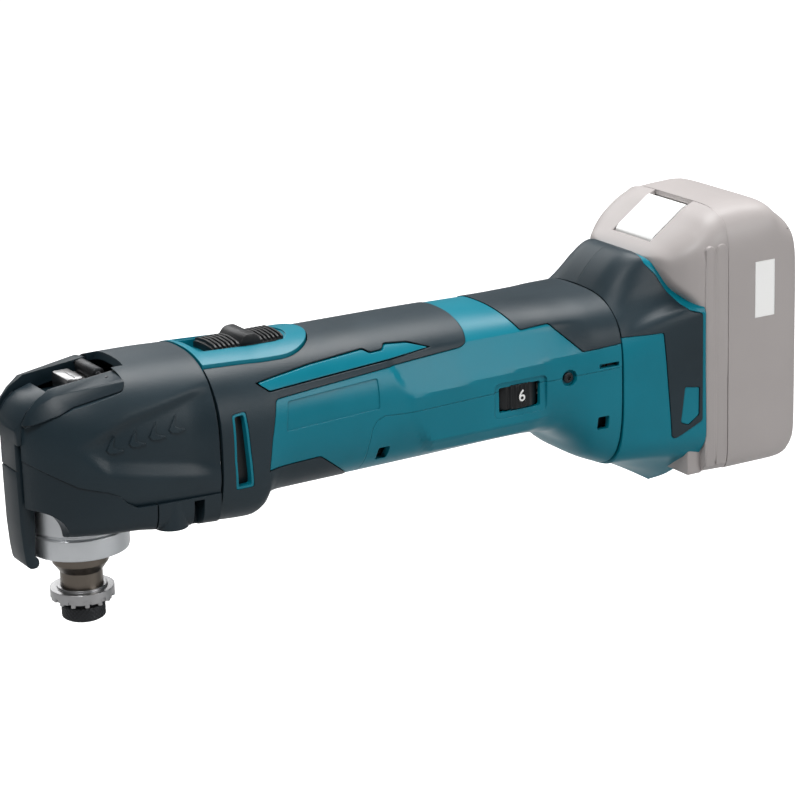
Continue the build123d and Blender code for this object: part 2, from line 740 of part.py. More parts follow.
def small_parts():
    """Pieces that are plain blocks or rings, by name."""
    seal_length = block(219, REAR_GAP_X + SEAM / 2 - 0.02, -60, 60, 0, 120)
    rubber_ring = (handle_form(WALL, 1.0) - handle_form(WALL + 3.5, 2.0)) & seal_length
    cradle = []
    for y0, y1 in ((-34.8, -32.7), (32.7, 34.8)):
        cradle.append(block(274.6, 305.8, y0, y1, 18.2, 104))
    return {
        "spindle_seal": tube_z(11.3, 7.66, 19.62, 21.8),
        "switch_unit": block(134, 152, -9, 9, 62, 79) + block(132.4, 134.2, -2, 2, 75, 79),
        "motor_controller": block(158, 208, -14, 14, 66.6, 80) - block(160, 206, -12, 12, 78, 81),
        "isolator_ring": rubber_ring,
        "job_light_lens": block(33.5, 36.9, -11.6, 11.6, 28.9, 31.0),
        "job_light_board": block(33.5, 36.9, -6, 6, 31.4, 33.0),
        "battery_board": block(261, 263.4, -28, 28, 16, 76),
        "battery_cell_cradle": Compound(cradle),
        "battery_label": block(287.4, 297.2, -BATT_HALF - 0.15, -BATT_HALF, 69.5, 93.0),
    }


# ---- Build every piece -------------------------------------------------------------
def main():
    os.makedirs("parts", exist_ok=True)

    boot, cover = head_parts()
    save(boot, "head_boot")
    save(cover, "lower_head_cover")
    save(gear_housing(), "gear_housing")
    lever, pin, cam = lever_parts()
    save(lever, "lock_lever")
    save(pin, "lever_pivot_pin")
    save(cam, "lever_cam")
    save(clamp_shaft(), "clamp_shaft")
    save(clamp_spring(), "clamp_spring")
    spindle, ring, fork = spindle_parts()
    save(spindle, "output_spindle")
    save(ring, "tool_flange")
    save(fork, "swing_fork")
    save(holder_bolt(), "holder_bolt")
    save(ball_bearing_z(7.6 + RUN_CLEAR, 15.0, 22, 31), "lower_spindle_bearing")
    save(ball_bearing_z(7.6 + RUN_CLEAR, 11.0, 63.2, 65.8), "upper_spindle_bearing")

    can, magnets, shaft, core, windings, commutator, fan, brushes, holders = motor_parts()
    save(can, "motor_can")
    save(Compound(magnets), "motor_magnets")
    save(shaft, "motor_shaft")
    save(core, "armature_core")
    save(windings, "armature_windings")
    save(commutator, "commutator")
    save(fan, "cooling_fan")
    save(Compound(brushes), "carbon_brushes")
    save(Compound(holders), "brush_holders")
    sleeve, bearing = eccentric_parts()
    save(sleeve, "eccentric_sleeve")
    save(bearing, "eccentric_bearing")
    save(ball_bearing_x(SHAFT_R + RUN_CLEAR, 8.0, 41.2, 44.4), "front_motor_bearing")
    save(ball_bearing_x(SHAFT_R + RUN_CLEAR, 8.0, MOTOR_X1, MOTOR_X1 + 5), "rear_motor_bearing")

    upper, lower, front_grip, rear_grip, belly, inlays, frames, panel = handle_parts()
    save(upper, "upper_housing")
    save(lower, "lower_housing")
    save(front_grip, "front_grip")
    save(rear_grip, "rear_grip")
    save(belly, "belly_strip")
    save(inlays, "side_inlays")
    save(frames, "vent_frames")
    save(panel, "switch_panel")
    slider, rod = slider_parts()
    save(slider, "switch_slider")
    save(rod, "switch_rod")
    wheel, post = dial_parts()
    save(wheel, "speed_dial")
    save(post, "dial_potentiometer")

    halves, cushions = carrier_parts()
    save(halves[0], "rear_housing_left")
    save(halves[1], "rear_housing_right")
    save(cushions[0], "rear_cushion_left")
    save(cushions[1], "rear_cushion_right")

    front, rear = battery_parts()
    save(front, "battery_front_case")
    save(rear, "battery_rear_case")
    save(battery_button(), "battery_button")
    save(Compound(battery_cells()), "battery_cells")

    save(terminal_block(), "terminal_block")
    save(Compound(lead_wires()), "lead_wires")
    save(Compound(housing_screws()), "housing_screws")
    save(Compound(head_screws()), "head_screws")
    for name, shape in small_parts().items():
        save(shape, name)


main()
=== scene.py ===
import json
import math

import bmesh
import bpy
import numpy as np
from mathutils import Matrix, Vector


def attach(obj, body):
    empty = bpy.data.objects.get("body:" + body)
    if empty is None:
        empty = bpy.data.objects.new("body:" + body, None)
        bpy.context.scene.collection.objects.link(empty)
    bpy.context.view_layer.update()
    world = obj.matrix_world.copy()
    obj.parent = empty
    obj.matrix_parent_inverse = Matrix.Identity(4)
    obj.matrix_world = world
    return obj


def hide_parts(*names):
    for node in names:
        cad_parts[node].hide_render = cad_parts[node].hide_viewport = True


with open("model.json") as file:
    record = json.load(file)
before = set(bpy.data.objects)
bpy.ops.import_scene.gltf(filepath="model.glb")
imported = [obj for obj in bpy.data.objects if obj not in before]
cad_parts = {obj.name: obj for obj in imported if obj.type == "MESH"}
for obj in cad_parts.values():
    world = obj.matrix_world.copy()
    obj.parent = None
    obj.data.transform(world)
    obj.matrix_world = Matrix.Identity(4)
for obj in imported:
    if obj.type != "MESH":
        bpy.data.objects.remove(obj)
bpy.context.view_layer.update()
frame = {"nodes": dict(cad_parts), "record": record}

# All shapes are drawn in millimetres and scaled to metres when they are finished.
MM = 0.001
RING = 152  # points round one section
EDGE_ANGLE = 35  # degrees
# Ends of the three outer bodies along x, with a groove of 1 mm between them.
HEAD_END = 44.5
HANDLE_START = 45.5
HANDLE_END = 224.1
CARRIER_START = 225.1
PIVOT = (8.5, 87.6)  # the lock lever's hinge, x and z
DIAL = (177.6, -17.4, 54.3)  # the speed wheel's centre
CHANNEL = 11.6  # half width of the channel in the head's top
WALL = 2.6  # usual wall of a shell
FAR = 60  # beyond every side of the object, for tools that pass right through it
SEAM_GAP = 0.36  # groove between the handle's rubber and its plastic
RUBBER_PROUD = 0.3  # how far rubber stands above the plastic
SIDE_SCREW = (200, 58.0)  # x and z of the screw in each side

# Stations of the two rounded bars: x, half width, bottom, top, height of the widest
# point, and how square the upper and the lower half of the section are.
HEAD = [
    (-25.2, 4.0, 52.0, 70.0, 61.0, 2.2, 2.2),
    (-24.6, 8.2, 46.0, 75.0, 60.5, 2.3, 2.3),
    (-23.0, 12.8, 41.5, 79.8, 60.0, 2.4, 2.4),
    (-20.0, 17.6, 37.5, 84.2, 59.5, 2.5, 2.5),
    (-15.5, 22.2, 34.6, 87.4, 59.0, 2.5, 2.6),
    (-9.0, 26.4, 32.4, 89.4, 58.8, 2.5, 2.7),
    (0.0, 29.7, 31.0, 90.4, 58.6, 2.5, 2.8),
    (12.0, 31.6, 30.2, 90.9, 58.3, 2.5, 3.0),
    (28.0, 32.6, 29.0, 90.7, 58.0, 2.5, 3.1),
    (45.5, 33.0, 27.8, 90.0, 58.0, 2.45, 3.2),
]
# The lever's cheeks: x, the ridge's y and z, height beside the channel, half width.
CHEEKS = [
    (-24.6, 13.2, 74.6, 75.8, 15.6),
    (-22.3, 14.0, 78.4, 80.0, 18.4),
    (-19.0, 15.0, 81.6, 83.4, 21.4),
    (-13.5, 17.0, 84.8, 86.6, 26.0),
    (17.0, 22.8, 87.6, 89.8, 33.4),
]
COVER = [
    (-24.4, 8.2, 30.6, 75.0, 60.5, 2.3, 5.0),
    (-22.0, 14.6, 30.6, 79.8, 60.0, 2.4, 6.0),
    (-15.5, 21.8, 30.6, 87.4, 59.0, 2.5, 8.0),
    (-9.0, 25.8, 30.6, 89.4, 58.8, 2.5, 9.0),
    (0.0, 29.0, 30.4, 90.4, 58.6, 2.5, 9.0),
    (12.0, 30.8, 30.0, 90.9, 58.3, 2.5, 9.0),
    (21.0, 31.6, 28.6, 90.7, 58.0, 2.5, 8.0),
    (45.5, 32.2, 26.6, 90.0, 58.0, 2.45, 7.0),
]
HANDLE = [
    (44.5, 33.0, 23.8, 89.4, 58.0, 2.4, 3.0),
    (62.0, 32.4, 22.6, 88.6, 58.0, 2.4, 3.0),
    (65.6, 32.2, 24.0, 88.4, 58.0, 2.4, 3.0),
    (69.6, 31.8, 28.8, 88.2, 58.0, 2.4, 2.6),
    (76.0, 31.6, 29.6, 88.1, 58.0, 2.4, 2.4),
    (100.0, 31.1, 29.8, 87.9, 58.0, 2.4, 2.4),
    (140.0, 30.8, 30.2, 87.6, 58.0, 2.45, 2.4),
    (186.0, 31.5, 31.2, 86.4, 58.0, 2.55, 2.5),
    (198.0, 32.2, 30.6, 86.0, 58.0, 2.7, 2.8),
    (207.0, 32.9, 25.8, 85.8, 58.0, 2.8, 3.2),
    (214.0, 33.5, 18.2, 85.8, 58.0, 2.9, 3.6),
    (225.1, 33.9, 12.8, 85.8, 58.0, 2.9, 3.7),
]


# ---- Numbers and outlines ---------------------------------------------------------
def fade(value, low, high):
    """0 below low, 1 above high, smooth between; low may be the larger one."""
    t = min(max((value - low) / (high - low), 0.0), 1.0)
    return t * t * (3 - 2 * t)


def interpolate(stations, x):
    """The stations' other columns at x, along a smooth curve that never overshoots."""
    rows = [np.array(row, float) for row in stations]
    xs = [row[0] for row in rows]
    x = min(max(x, xs[0]), xs[-1])
    k = max(i for i in range(len(xs) - 1) if xs[i] <= x)

    def secant(i):
        return (rows[i + 1][1:] - rows[i][1:]) / (xs[i + 1] - xs[i])

    def slope(i):
        if i in (0, len(xs) - 1):
            return secant(min(i, len(xs) - 2))
        a, b = secant(i - 1), secant(i)
        total = np.where(np.abs(a + b) < 1e-9, 1.0, a + b)
        return np.where(a * b > 0, 2 * a * b / total, 0.0)

    span = xs[k + 1] - xs[k]
    t = (x - xs[k]) / span
    start, end = rows[k][1:], rows[k + 1][1:]
    curve = (2 * t**3 - 3 * t**2 + 1) * start + (3 * t**2 - 2 * t**3) * end
    return curve + ((t**3 - 2 * t**2 + t) * slope(k) + (t**3 - t**2) * slope(k + 1)) * span


def even(points, count):
    """The polyline's points moved to count + 1 equal steps along its length."""
    points = np.array(points, float)
    steps = np.linalg.norm(np.diff(points, axis=0), axis=1)
    length = np.concatenate([[0], np.cumsum(steps)])
    wanted = np.linspace(0, length[-1], count + 1)
    columns = [np.interp(wanted, length, points[:, i]) for i in range(points.shape[1])]
    return np.stack(columns, axis=1)


def rounded(points, radius, steps=5):
    """A closed outline with its corners rounded off."""
    out = []
    count = len(points)
    for i in range(count):
        before, here, after = (Vector(points[(i + k) % count]) for k in (-1, 0, 1))
        cut_a = min(radius, (before - here).length * 0.45)
        cut_b = min(radius, (after - here).length * 0.45)
        start = here + (before - here).normalized() * cut_a
        end = here + (after - here).normalized() * cut_b
        for k in range(steps + 1):
            t = k / steps
            out.append(tuple((1 - t) ** 2 * start + 2 * t * (1 - t) * here + t * t * end))
    return out


def grown(points, distance):
    """A closed outline moved outwards by distance."""
    area = sum(
        a[0] * b[1] - b[0] * a[1] for a, b in zip(points, points[1:] + points[:1])
    )
    sign = 1 if area > 0 else -1
    out = []
    count = len(points)
    for i in range(count):
        before, here, after = (Vector(points[(i + k) % count]) for k in (-1, 0, 1))
        a = (here - before).normalized()
        b = (after - here).normalized()
        normal_a = Vector((a.y, -a.x)) * sign
        normal_b = Vector((b.y, -b.x)) * sign
        mitre = (normal_a + normal_b).normalized()
        out.append(tuple(here + mitre * distance / max(mitre.dot(normal_a), 0.35)))
    return out


# ---- Solids -------------------------------------------------------------------------
def solid(points, faces):
    mesh = bpy.data.meshes.new("solid")
    mesh.from_pydata([tuple(p) for p in points], [], faces)
    bm = bmesh.new()
    bm.from_mesh(mesh)
    bmesh.ops.recalc_face_normals(bm, faces=bm.faces)
    bm.to_mesh(mesh)
    bm.free()
    obj = bpy.data.objects.new("solid", mesh)
    bpy.context.scene.collection.objects.link(obj)
    return obj


def copy_of(obj):
    other = bpy.data.objects.new("copy", obj.data.copy())
    bpy.context.scene.collection.objects.link(other)
    return other


def remove(obj):
    bpy.data.objects.remove(obj, do_unlink=True)


def loft(rings, closed=True):
    """A closed mesh through rings of equal length."""
    count = len(rings[0])
    points = [tuple(p) for ring in rings for p in ring]
    faces = []
    for i in range(len(rings) - 1):
        for j in range(count):
            k = (j + 1) % count
            faces.append((i * count + j, i * count + k, (i + 1) * count + k, (i + 1) * count + j))
    if closed:
        faces.append(tuple(range(count)))
        faces.append(tuple(range(len(points) - count, len(points))))
    else:
        last = (len(rings) - 1) * count
        for j in range(count):
            k = (j + 1) % count
            faces.append((last + j, last + k, k, j))
    return solid(points, faces)


def prism(outline, y0=-FAR, y1=FAR):
    """An outline in x and z, from y0 to y1."""
    return loft([[(x, y, z) for x, z in outline] for y in (y0, y1)])


def plan_prism(outline, z0, z1):
    """An outline in x and y, from z0 to z1."""
    return loft([[(x, y, z) for x, y in outline] for z in (z0, z1)])


def end_prism(outline, x0, x1):
    """An outline in y and z, from x0 to x1."""
    return loft([[(x, y, z) for y, z in outline] for x in (x0, x1)])


def rectangle(u0, u1, v0, v1):
    return [(u0, v0), (u1, v0), (u1, v1), (u0, v1)]


def block(x0, x1, y0, y1, z0, z1):
    return prism(rectangle(x0, x1, z0, z1), y0, y1)


def circle(radius, u=0.0, v=0.0, steps=64):
    turns = [2 * math.pi * k / steps for k in range(steps)]
    return [(u + radius * math.cos(t), v + radius * math.sin(t)) for t in turns]


def lathe(profile, steps=96, x=0.0, y=0.0):
    """A closed profile of radius and height, turned about a vertical line."""
    rings = []
    for k in range(steps):
        t = 2 * math.pi * k / steps
        rings.append([(x + r * math.cos(t), y + r * math.sin(t), z) for r, z in profile])
    count = len(profile)
    points = [p for ring in rings for p in ring]
    faces = []
    for i in range(steps):
        for j in range(count):
            k = (j + 1) % count
            a, b = i * count, (i + 1) % steps * count
            faces.append((a + j, a + k, b + k, b + j))
    return solid(points, faces)


def combine(target, tool, operation):
    """Boolean of target with tool, in place; the tool is used up."""
    modifier = target.modifiers.new("combine", "BOOLEAN")
    modifier.operation = operation
    modifier.solver = "EXACT"
    modifier.object = tool
    bpy.context.view_layer.update()
    depsgraph = bpy.context.evaluated_depsgraph_get()
    mesh = bpy.data.meshes.new_from_object(target.evaluated_get(depsgraph))
    target.modifiers.clear()
    target.data = mesh
    remove(tool)
    return target


def cut(target, *tools):
    for tool in tools:
        combine(target, tool, "DIFFERENCE")
    return target


def add(target, *tools):
    for tool in tools:
        combine(target, tool, "UNION")
    return target


def within(target, tool):
    return combine(target, tool, "INTERSECT")


def join(objects):
    """Several closed meshes as one object."""
    points, faces = [], []
    for obj in objects:
        base = len(points)
        points += [tuple(v.co) for v in obj.data.vertices]
        faces += [tuple(base + i for i in p.vertices) for p in obj.data.polygons]
        remove(obj)
    return solid(points, faces)


def edge_bevel(obj, width, segments=2):
    """Breaks every edge that turns by more than EDGE_ANGLE."""
    modifier = obj.modifiers.new("bevel", "BEVEL")
    modifier.width = width
    modifier.segments = segments
    modifier.limit_method = "ANGLE"
    modifier.angle_limit = math.radians(EDGE_ANGLE)
    bpy.context.view_layer.update()
    mesh = bpy.data.meshes.new_from_object(obj.evaluated_get(bpy.context.evaluated_depsgraph_get()))
    obj.modifiers.clear()
    obj.data = mesh
    return obj


# ---- Rounded bars: the head and the handle --------------------------------------------
def bar_ring(stations, x, grow, shape):
    half, bottom, top, middle, upper, lower = interpolate(stations, x)
    half, bottom, top = half + grow, bottom - grow, top + grow
    t = np.linspace(0, math.pi / 2, 240)
    ring = []
    for side, up in ((1, 1), (-1, 1), (-1, -1), (1, -1)):
        power = 2 / (upper if up > 0 else lower)
        height = top - middle if up > 0 else middle - bottom
        y = side * half * np.clip(np.cos(t), 0, 1) ** power
        z = middle + up * height * np.clip(np.sin(t), 0, 1) ** power
        quarter = even(list(zip(y, z)), RING // 4)
        if side * up < 0:
            quarter = quarter[::-1]
        ring += [tuple(p) for p in quarter[:-1]]
    return [(x, shape(x, y, z, grow) if shape else y, z) for y, z in ring]


def bar(stations, x0, x1, grow=0.0, step=1.6, shape=None):
    count = max(2, round((x1 - x0) / step))
    xs = [x0 + (x1 - x0) * k / count for k in range(count + 1)]
    return loft([bar_ring(stations, x, grow, shape) for x in xs])


def bar_shell(stations, x0, x1, grow=0.0, wall=WALL, step=1.6, shape=None):
    """An open-ended tube with a wall."""
    count = max(2, round((x1 - x0) / step))
    xs = [x0 + (x1 - x0) * k / count for k in range(count + 1)]
    outer = [bar_ring(stations, x, grow, shape) for x in xs]
    inner = [bar_ring(stations, x, grow - wall, shape) for x in xs]
    return loft(outer + inner[::-1], closed=False)


def handle_shape(x, y, z, grow):
    """The handle's flat side facets behind its front half."""
    if not 33.0 < z < 79.5:
        return y
    crease = 62.0 + 5.0 * (x - 126.0) / 79.0
    start = 126.0 - 0.46 * max(z - 62.0, 0.0) + 0.53 * max(57.0 - z, 0.0)
    side = 31.5 + 1.2 * fade(x, 185, 215)
    if z > crease:
        facet = side - 7.0 * (z - crease) / (79.5 - crease)
        amount = fade(x, start, start + 4.0) * fade(x, 212, 196)
    else:
        facet = side - 0.8 * (crease - z) / 20.0 - 6.5 * max(43.0 - z, 0.0) / 8.0
        amount = fade(x, start, start + 4.0) * fade(x, 196, 184)
    amount *= fade(z, 79.5, 77.5) * fade(z, 34.0, 38.0)
    return math.copysign(abs(y) + (facet + grow - abs(y)) * amount, y)


def head_shape(x, y, z, grow):
    """The long hollow in each side of the head."""
    upper = 65.5 + 0.42 * min(x + 12.0, 22.0) + 0.2 * max(x - 10.0, 0.0)
    lower = 62.0 - 0.75 * min(x + 8.0, 9.0) - 0.19 * max(x - 1.0, 0.0)
    depth = 2.5 * fade(x, -12.5, 3.0) * fade(x, 50.0, 34.0)
    depth *= fade(z, upper + 1.2, upper - 3.6) * fade(z, lower - 1.0, lower + 6.0)
    return math.copysign(max(abs(y) - depth, 0.0), y) if abs(y) > 8 else y


# ---- Finished pieces -------------------------------------------------------------------
def piece(obj, name, body, slot, *nodes, angle=32):
    """Scales a drawn solid to metres and hangs it on its CAD body."""
    bm = bmesh.new()
    bm.from_mesh(obj.data)
    bmesh.ops.remove_doubles(bm, verts=bm.verts, dist=0.002)
    bmesh.ops.dissolve_degenerate(bm, edges=bm.edges, dist=0.001)
    loose = [v for v in bm.verts if not v.link_faces]
    bmesh.ops.delete(bm, geom=loose, context="VERTS")
    bmesh.ops.scale(bm, vec=(MM, MM, MM), verts=bm.verts)
    mesh = bpy.data.meshes.new(name)
    bm.to_mesh(mesh)
    bm.free()
    obj.data = mesh
    obj.name = name
    for polygon in mesh.polygons:
        polygon.use_smooth = True
    mesh.set_sharp_from_angle(angle=math.radians(angle))
    mesh.materials.append(MATERIALS[slot])
    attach(obj, body)
    if nodes:
        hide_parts(*nodes)
    return obj


# ---- Materials ---------------------------------------------------------------------------
def new_material(
    name, colour, rough, metal=0.0, grain=1400, bump=0.12, cloud=0.1, edge_highlight=0.25, coat=0.0, gloss=0.3
):
    """Colour with soft clouds, fine grain in the bump, and a painted highlight that lightens every edge."""
    mat = bpy.data.materials.new(name)
    mat.use_nodes = True
    nodes, links = mat.node_tree.nodes, mat.node_tree.links
    bsdf = nodes["Principled BSDF"]
    coord = nodes.new("ShaderNodeTexCoord")

    def noise(scale, detail):
        node = nodes.new("ShaderNodeTexNoise")
        node.inputs["Scale"].default_value = scale
        node.inputs["Detail"].default_value = detail
        links.new(coord.outputs["Object"], node.inputs["Vector"])
        return node.outputs["Fac"]

    def remap(value, low, high, to_low, to_high):
        node = nodes.new("ShaderNodeMapRange")
        for key, number in (("From Min", low), ("From Max", high), ("To Min", to_low), ("To Max", to_high)):
            node.inputs[key].default_value = number
        links.new(value, node.inputs["Value"])
        return node.outputs["Result"]

    def mix(factor, a, b):
        node = nodes.new("ShaderNodeMix")
        node.data_type = "RGBA"
        links.new(factor, node.inputs["Factor"])
        for socket, value in ((node.inputs["A"], a), (node.inputs["B"], b)):
            if isinstance(value, tuple):
                socket.default_value = (*value, 1)
            else:
                links.new(value, socket)
        return node.outputs["Result"]

    clouds, fine, specks = noise(28, 4), noise(grain, 3), noise(grain * 0.25, 6)
    dark = tuple(c * (1 - cloud) for c in colour)
    light = tuple(min(c * (1 + cloud) + 0.001, 1) for c in colour)
    # Painted highlight: a lighter copy of the colour, used on the edges.
    highlight_colour = tuple(min(c * 1.5 + 0.03, 1) for c in colour)
    base = mix(remap(clouds, 0.3, 0.7, 0, 1), dark, light)
    base = mix(remap(specks, 0.62, 0.75, 0, 0.25), base, dark)

    bevel = nodes.new("ShaderNodeBevel")
    bevel.samples = 4
    bevel.inputs["Radius"].default_value = 0.0005
    geometry = nodes.new("ShaderNodeNewGeometry")
    dot = nodes.new("ShaderNodeVectorMath")
    dot.operation = "DOT_PRODUCT"
    links.new(bevel.outputs["Normal"], dot.inputs[0])
    links.new(geometry.outputs["Normal"], dot.inputs[1])
    # Painted highlight: wherever the bevel normal turns away from the face's normal, at every edge, the
    # colour is mixed towards the lighter copy.
    links.new(mix(remap(dot.outputs["Value"], 0.99, 0.85, 0, edge_highlight), base, highlight_colour), bsdf.inputs["Base Color"])

    relief = nodes.new("ShaderNodeBump")
    relief.inputs["Strength"].default_value = bump
    relief.inputs["Distance"].default_value = 0.0002
    links.new(fine, relief.inputs["Height"])
    links.new(bevel.outputs["Normal"], relief.inputs["Normal"])
    links.new(relief.outputs["Normal"], bsdf.inputs["Normal"])
    links.new(remap(clouds, 0.25, 0.75, rough - 0.05, rough + 0.07), bsdf.inputs["Roughness"])
    bsdf.inputs["Metallic"].default_value = metal
    bsdf.inputs["Specular IOR Level"].default_value = 0.5 if metal else gloss
    bsdf.inputs["Coat Weight"].default_value = coat
    bsdf.inputs["Coat Roughness"].default_value = 0.25
    return mat


# Slot, colour, roughness, then what differs from the usual.
# The edge number in an entry sets how strongly a painted highlight lightens that material's edges.
LOOKS = {
    "teal_plastic": ((0.0, 0.16, 0.22), 0.32, dict(bump=0.06, cloud=0.08, gloss=0.22)),
    "dark_rubber": ((0.009, 0.021, 0.029), 0.42, dict(bump=0.22, grain=2200, cloud=0.14)),
    "black_rubber": ((0.012, 0.013, 0.015), 0.6, dict()),
    "dark_plastic": ((0.008, 0.018, 0.025), 0.38, dict(bump=0.12, cloud=0.1)),
    "black_plastic": ((0.006, 0.007, 0.008), 0.38, dict(bump=0.1)),
    "pale_plastic": ((0.37, 0.342, 0.335), 0.4, dict(bump=0.05, cloud=0.03, edge_highlight=0.5)),
    "white_plastic": ((0.86, 0.86, 0.85), 0.4, dict(bump=0.04, cloud=0.02, edge_highlight=0.1)),
    "nose_alloy": ((0.6, 0.62, 0.64), 0.38, dict(metal=0.9, bump=0.3, grain=1800, cloud=0.06)),
    "steel": ((0.36, 0.36, 0.365), 0.3, dict(metal=1.0, bump=0.1, cloud=0.1, edge_highlight=0.6)),
    "black_steel": ((0.035, 0.037, 0.04), 0.4, dict(metal=0.9, bump=0.15, edge_highlight=0.6)),
    "bronze_steel": ((0.15, 0.13, 0.11), 0.28, dict(metal=1.0, bump=0.12, cloud=0.16, edge_highlight=0.5)),
    "magnet": ((0.05, 0.05, 0.055), 0.6, dict(metal=0.4)),
    "copper": ((0.6, 0.25, 0.1), 0.35, dict(metal=1.0)),
    "brass": ((0.6, 0.42, 0.16), 0.3, dict(metal=1.0)),
    "carbon": ((0.02, 0.02, 0.02), 0.6, dict()),
    "cell_wrap": ((0.03, 0.2, 0.09), 0.3, dict(coat=0.3)),
    "wire": ((0.5, 0.02, 0.015), 0.35, dict()),
    "board": ((0.01, 0.09, 0.03), 0.35, dict(coat=0.3)),
    "lens": ((0.8, 0.85, 0.9), 0.15, dict(bump=0.02, coat=0.6)),
}
MATERIALS = {
    slot: new_material(slot, colour, rough, **extra) for slot, (colour, rough, extra) in LOOKS.items()
}


# ---- Head ----------------------------------------------------------------------------------
# Lower edge of the rubber boot, x and z.
BOOT_EDGE = [
    (-40, 64.5), (-27, 61.5), (-20, 57.5), (-10, 51.6), (0, 48.8), (4.5, 46.6), (7, 43.6), (11, 41.0),
    (60, 40.4),
]
CHEVRONS_X = (1.0, 9.5, 17.5, 25.5)
COLLAR_RADIUS = 19.0
PLATE_SLOT = (-19.0, 8.4)  # where the lever's front plate lies: its rear x, its half width


MARK_Z = (55.3, 55.9)  # the fine groove and white mark across the lever's plate


def lever_fork(grow):
    """Side outline of the lever's two upper arms, with a round end about the hinge."""
    reach = 3.8 + grow
    turns = [math.radians(a) for a in range(-80, 91, 10)]
    end = [(PIVOT[0] + reach * math.cos(t), PIVOT[1] + reach * math.sin(t)) for t in turns]
    return end + [(8, 100), (-34, 100), (-34, 72.6 - grow), (-22, 75.0 - grow), (-8, 80.6 - grow)]


def chevron(x, z):
    """A left-pointing raised mark with a short upper and a longer lower arm."""
    return [
        (x, z), (x + 1.5, z + 2.6), (x + 3.3, z + 4.9), (x + 2.6, z + 2.3), (x + 2.5, z + 0.9),
        (x + 4.4, z - 0.2), (x + 6.4, z - 0.7), (x + 3.4, z - 1.5), (x + 1.0, z - 1.2),
    ]


def build_head():
    outer = bar(HEAD, -25.2, HEAD_END, 0.3, 1.2, head_shape)
    hollow = bar(HEAD, -21.5, HEAD_END + 1, -WALL, 2.4, head_shape)
    zone = prism(BOOT_EDGE + [(60, 120), (-40, 120)])
    build_boot(outer, hollow, zone)
    build_head_cover(hollow, zone)
    build_collar()
    remove(outer)


def build_boot(outer, hollow, zone):
    """Rubber over the head's top and sides, open above for the lever."""
    boot = within(copy_of(outer), copy_of(zone))
    for k, x in enumerate(CHEVRONS_X):
        ridge = within(prism(chevron(x, 64.2 + 1.3 * k)), bar(HEAD, -10, 40, 0.95, 1.6, head_shape))
        add(boot, cut(ridge, block(-20, 60, -24, 24, 0, 120)))
    cut(boot, copy_of(hollow))
    # The floor of the channel in which the lever's parts lie.
    floor = within(block(-19.5, 22, -14, 14, 76.0, 79.0), bar(HEAD, -21, 40, -1.0, 4))
    add(boot, floor)
    channel = prism([(-40, 79), (13.5, 79), (18.5, 96), (-40, 96)], -CHANNEL, CHANNEL)
    slot_end, slot_half = PLATE_SLOT
    arm_slot = block(-40, slot_end, -slot_half, slot_half, 10, 79)
    cut(boot, channel, prism(lever_fork(0.35)), arm_slot)
    piece(boot, "head_boot_skin", "housing", "dark_rubber", "head_boot")


def build_head_cover(hollow, zone):
    """Hard cover below the rubber, round the metal collar."""
    cover = bar(COVER, -24.3, HEAD_END, 0.0, 1.6)
    wrap = lathe([(14, 30.4), (20.6, 30.4), (21.4, 31.2), (21.4, 46), (14, 46)])
    add(cover, cut(wrap, block(-40, 0, -40, 40, 52, 80)))
    for side in (-1, 1):
        add(cover, plan_prism(circle(6.4, 26.5, side * 25.4, 40), 29.4, 40.0))
        cut(cover, block(33.4, 37.6, side * 30.5 - 7, side * 30.5 + 7, 20, 39.5))
        cut(cover, block(18.5, 19.1, side * 34 - 10, side * 34 + 10, 20, 41))
    cut(cover, zone, hollow, plan_prism(circle(COLLAR_RADIUS + 0.35, steps=96), 0, 60))
    window = rounded([(-60, 10), (-60, 41.6), (-20, 41.6), (-15.5, 38.6), (-13.0, 34), (-11.4, 10)], 3.0)
    slot_end, slot_half = PLATE_SLOT
    cut(cover, prism(window), block(-60, slot_end, -slot_half, slot_half, 10, 79))
    piece(cover, "lower_head_skin", "housing", "dark_plastic", "lower_head_cover")


def build_collar():
    """Metal collar: the visible nose of the gear housing, with a groove round it."""
    profile = [
        (11.4, 19.5), (17.9, 19.5), (18.8, 19.9), (19.06, 20.8), (19.06, 27.6), (18.7, 28.0), (18.1, 28.2),
        (18.1, 28.9), (18.7, 29.1), (19.0, 29.6), (19.0, 56.0), (15.0, 56.0), (15.0, 31.2), (15.4, 31.2),
        (15.4, 21.8), (11.4, 21.8),
    ]
    collar = lathe(profile, 128)
    cut(collar, block(-30, -18.7, -12, 12, 10, 60))
    piece(collar, "nose_collar", "housing", "nose_alloy", "gear_housing", angle=25)


def faceted_cheeks():
    """A body with flat top and side facets that meet in a ridge on each side."""
    rings = []
    for x, ridge_y, ridge_z, top, side in CHEEKS:
        right = [(10.0, top), (ridge_y, ridge_z), (side, 70.0), (side, 60.0)]
        rings.append([(x, y, z) for y, z in right[::-1]] + [(x, -y, z) for y, z in right])
    return loft(rings)


def lever_arms():
    """The two arms of the fork, hollow over the head."""
    arms = within(prism(lever_fork(0.0)), faceted_cheeks())
    gap = block(-60, 60, -CHANNEL - 0.2, CHANNEL + 0.2, 50, 110)
    cut(arms, gap, lathe([(0, 50), (19.5, 50), (19.5, 78.3), (0, 78.3)]))
    cut(arms, end_prism([(-19, 78.5), (19, 78.5), (24, 60), (-24, 60)], -14, 60))
    return edge_bevel(arms, 0.6)


def lever_web():
    """The bent strap between the arms and the plate, and its bridge to both arms."""
    strap = [
        (-26.0, 66), (-26.0, 71.0), (-24.8, 74.2), (-21.8, 78.6), (-18.0, 81.6), (-11.6, 83.6), (-11.6, 81.8),
        (-17.6, 79.6), (-20.6, 76.4), (-22.8, 70.0), (-22.8, 66),
    ]
    web = edge_bevel(prism(strap, -9.4, 9.4), 0.5)
    bridge = [(-24.2, 73.8), (-21.4, 77.6), (-17.8, 80.6), (-17.4, 79.8), (-20.2, 76.8), (-22.4, 73.8)]
    return add(web, prism(bridge, -CHANNEL - 2.4, CHANNEL + 2.4))


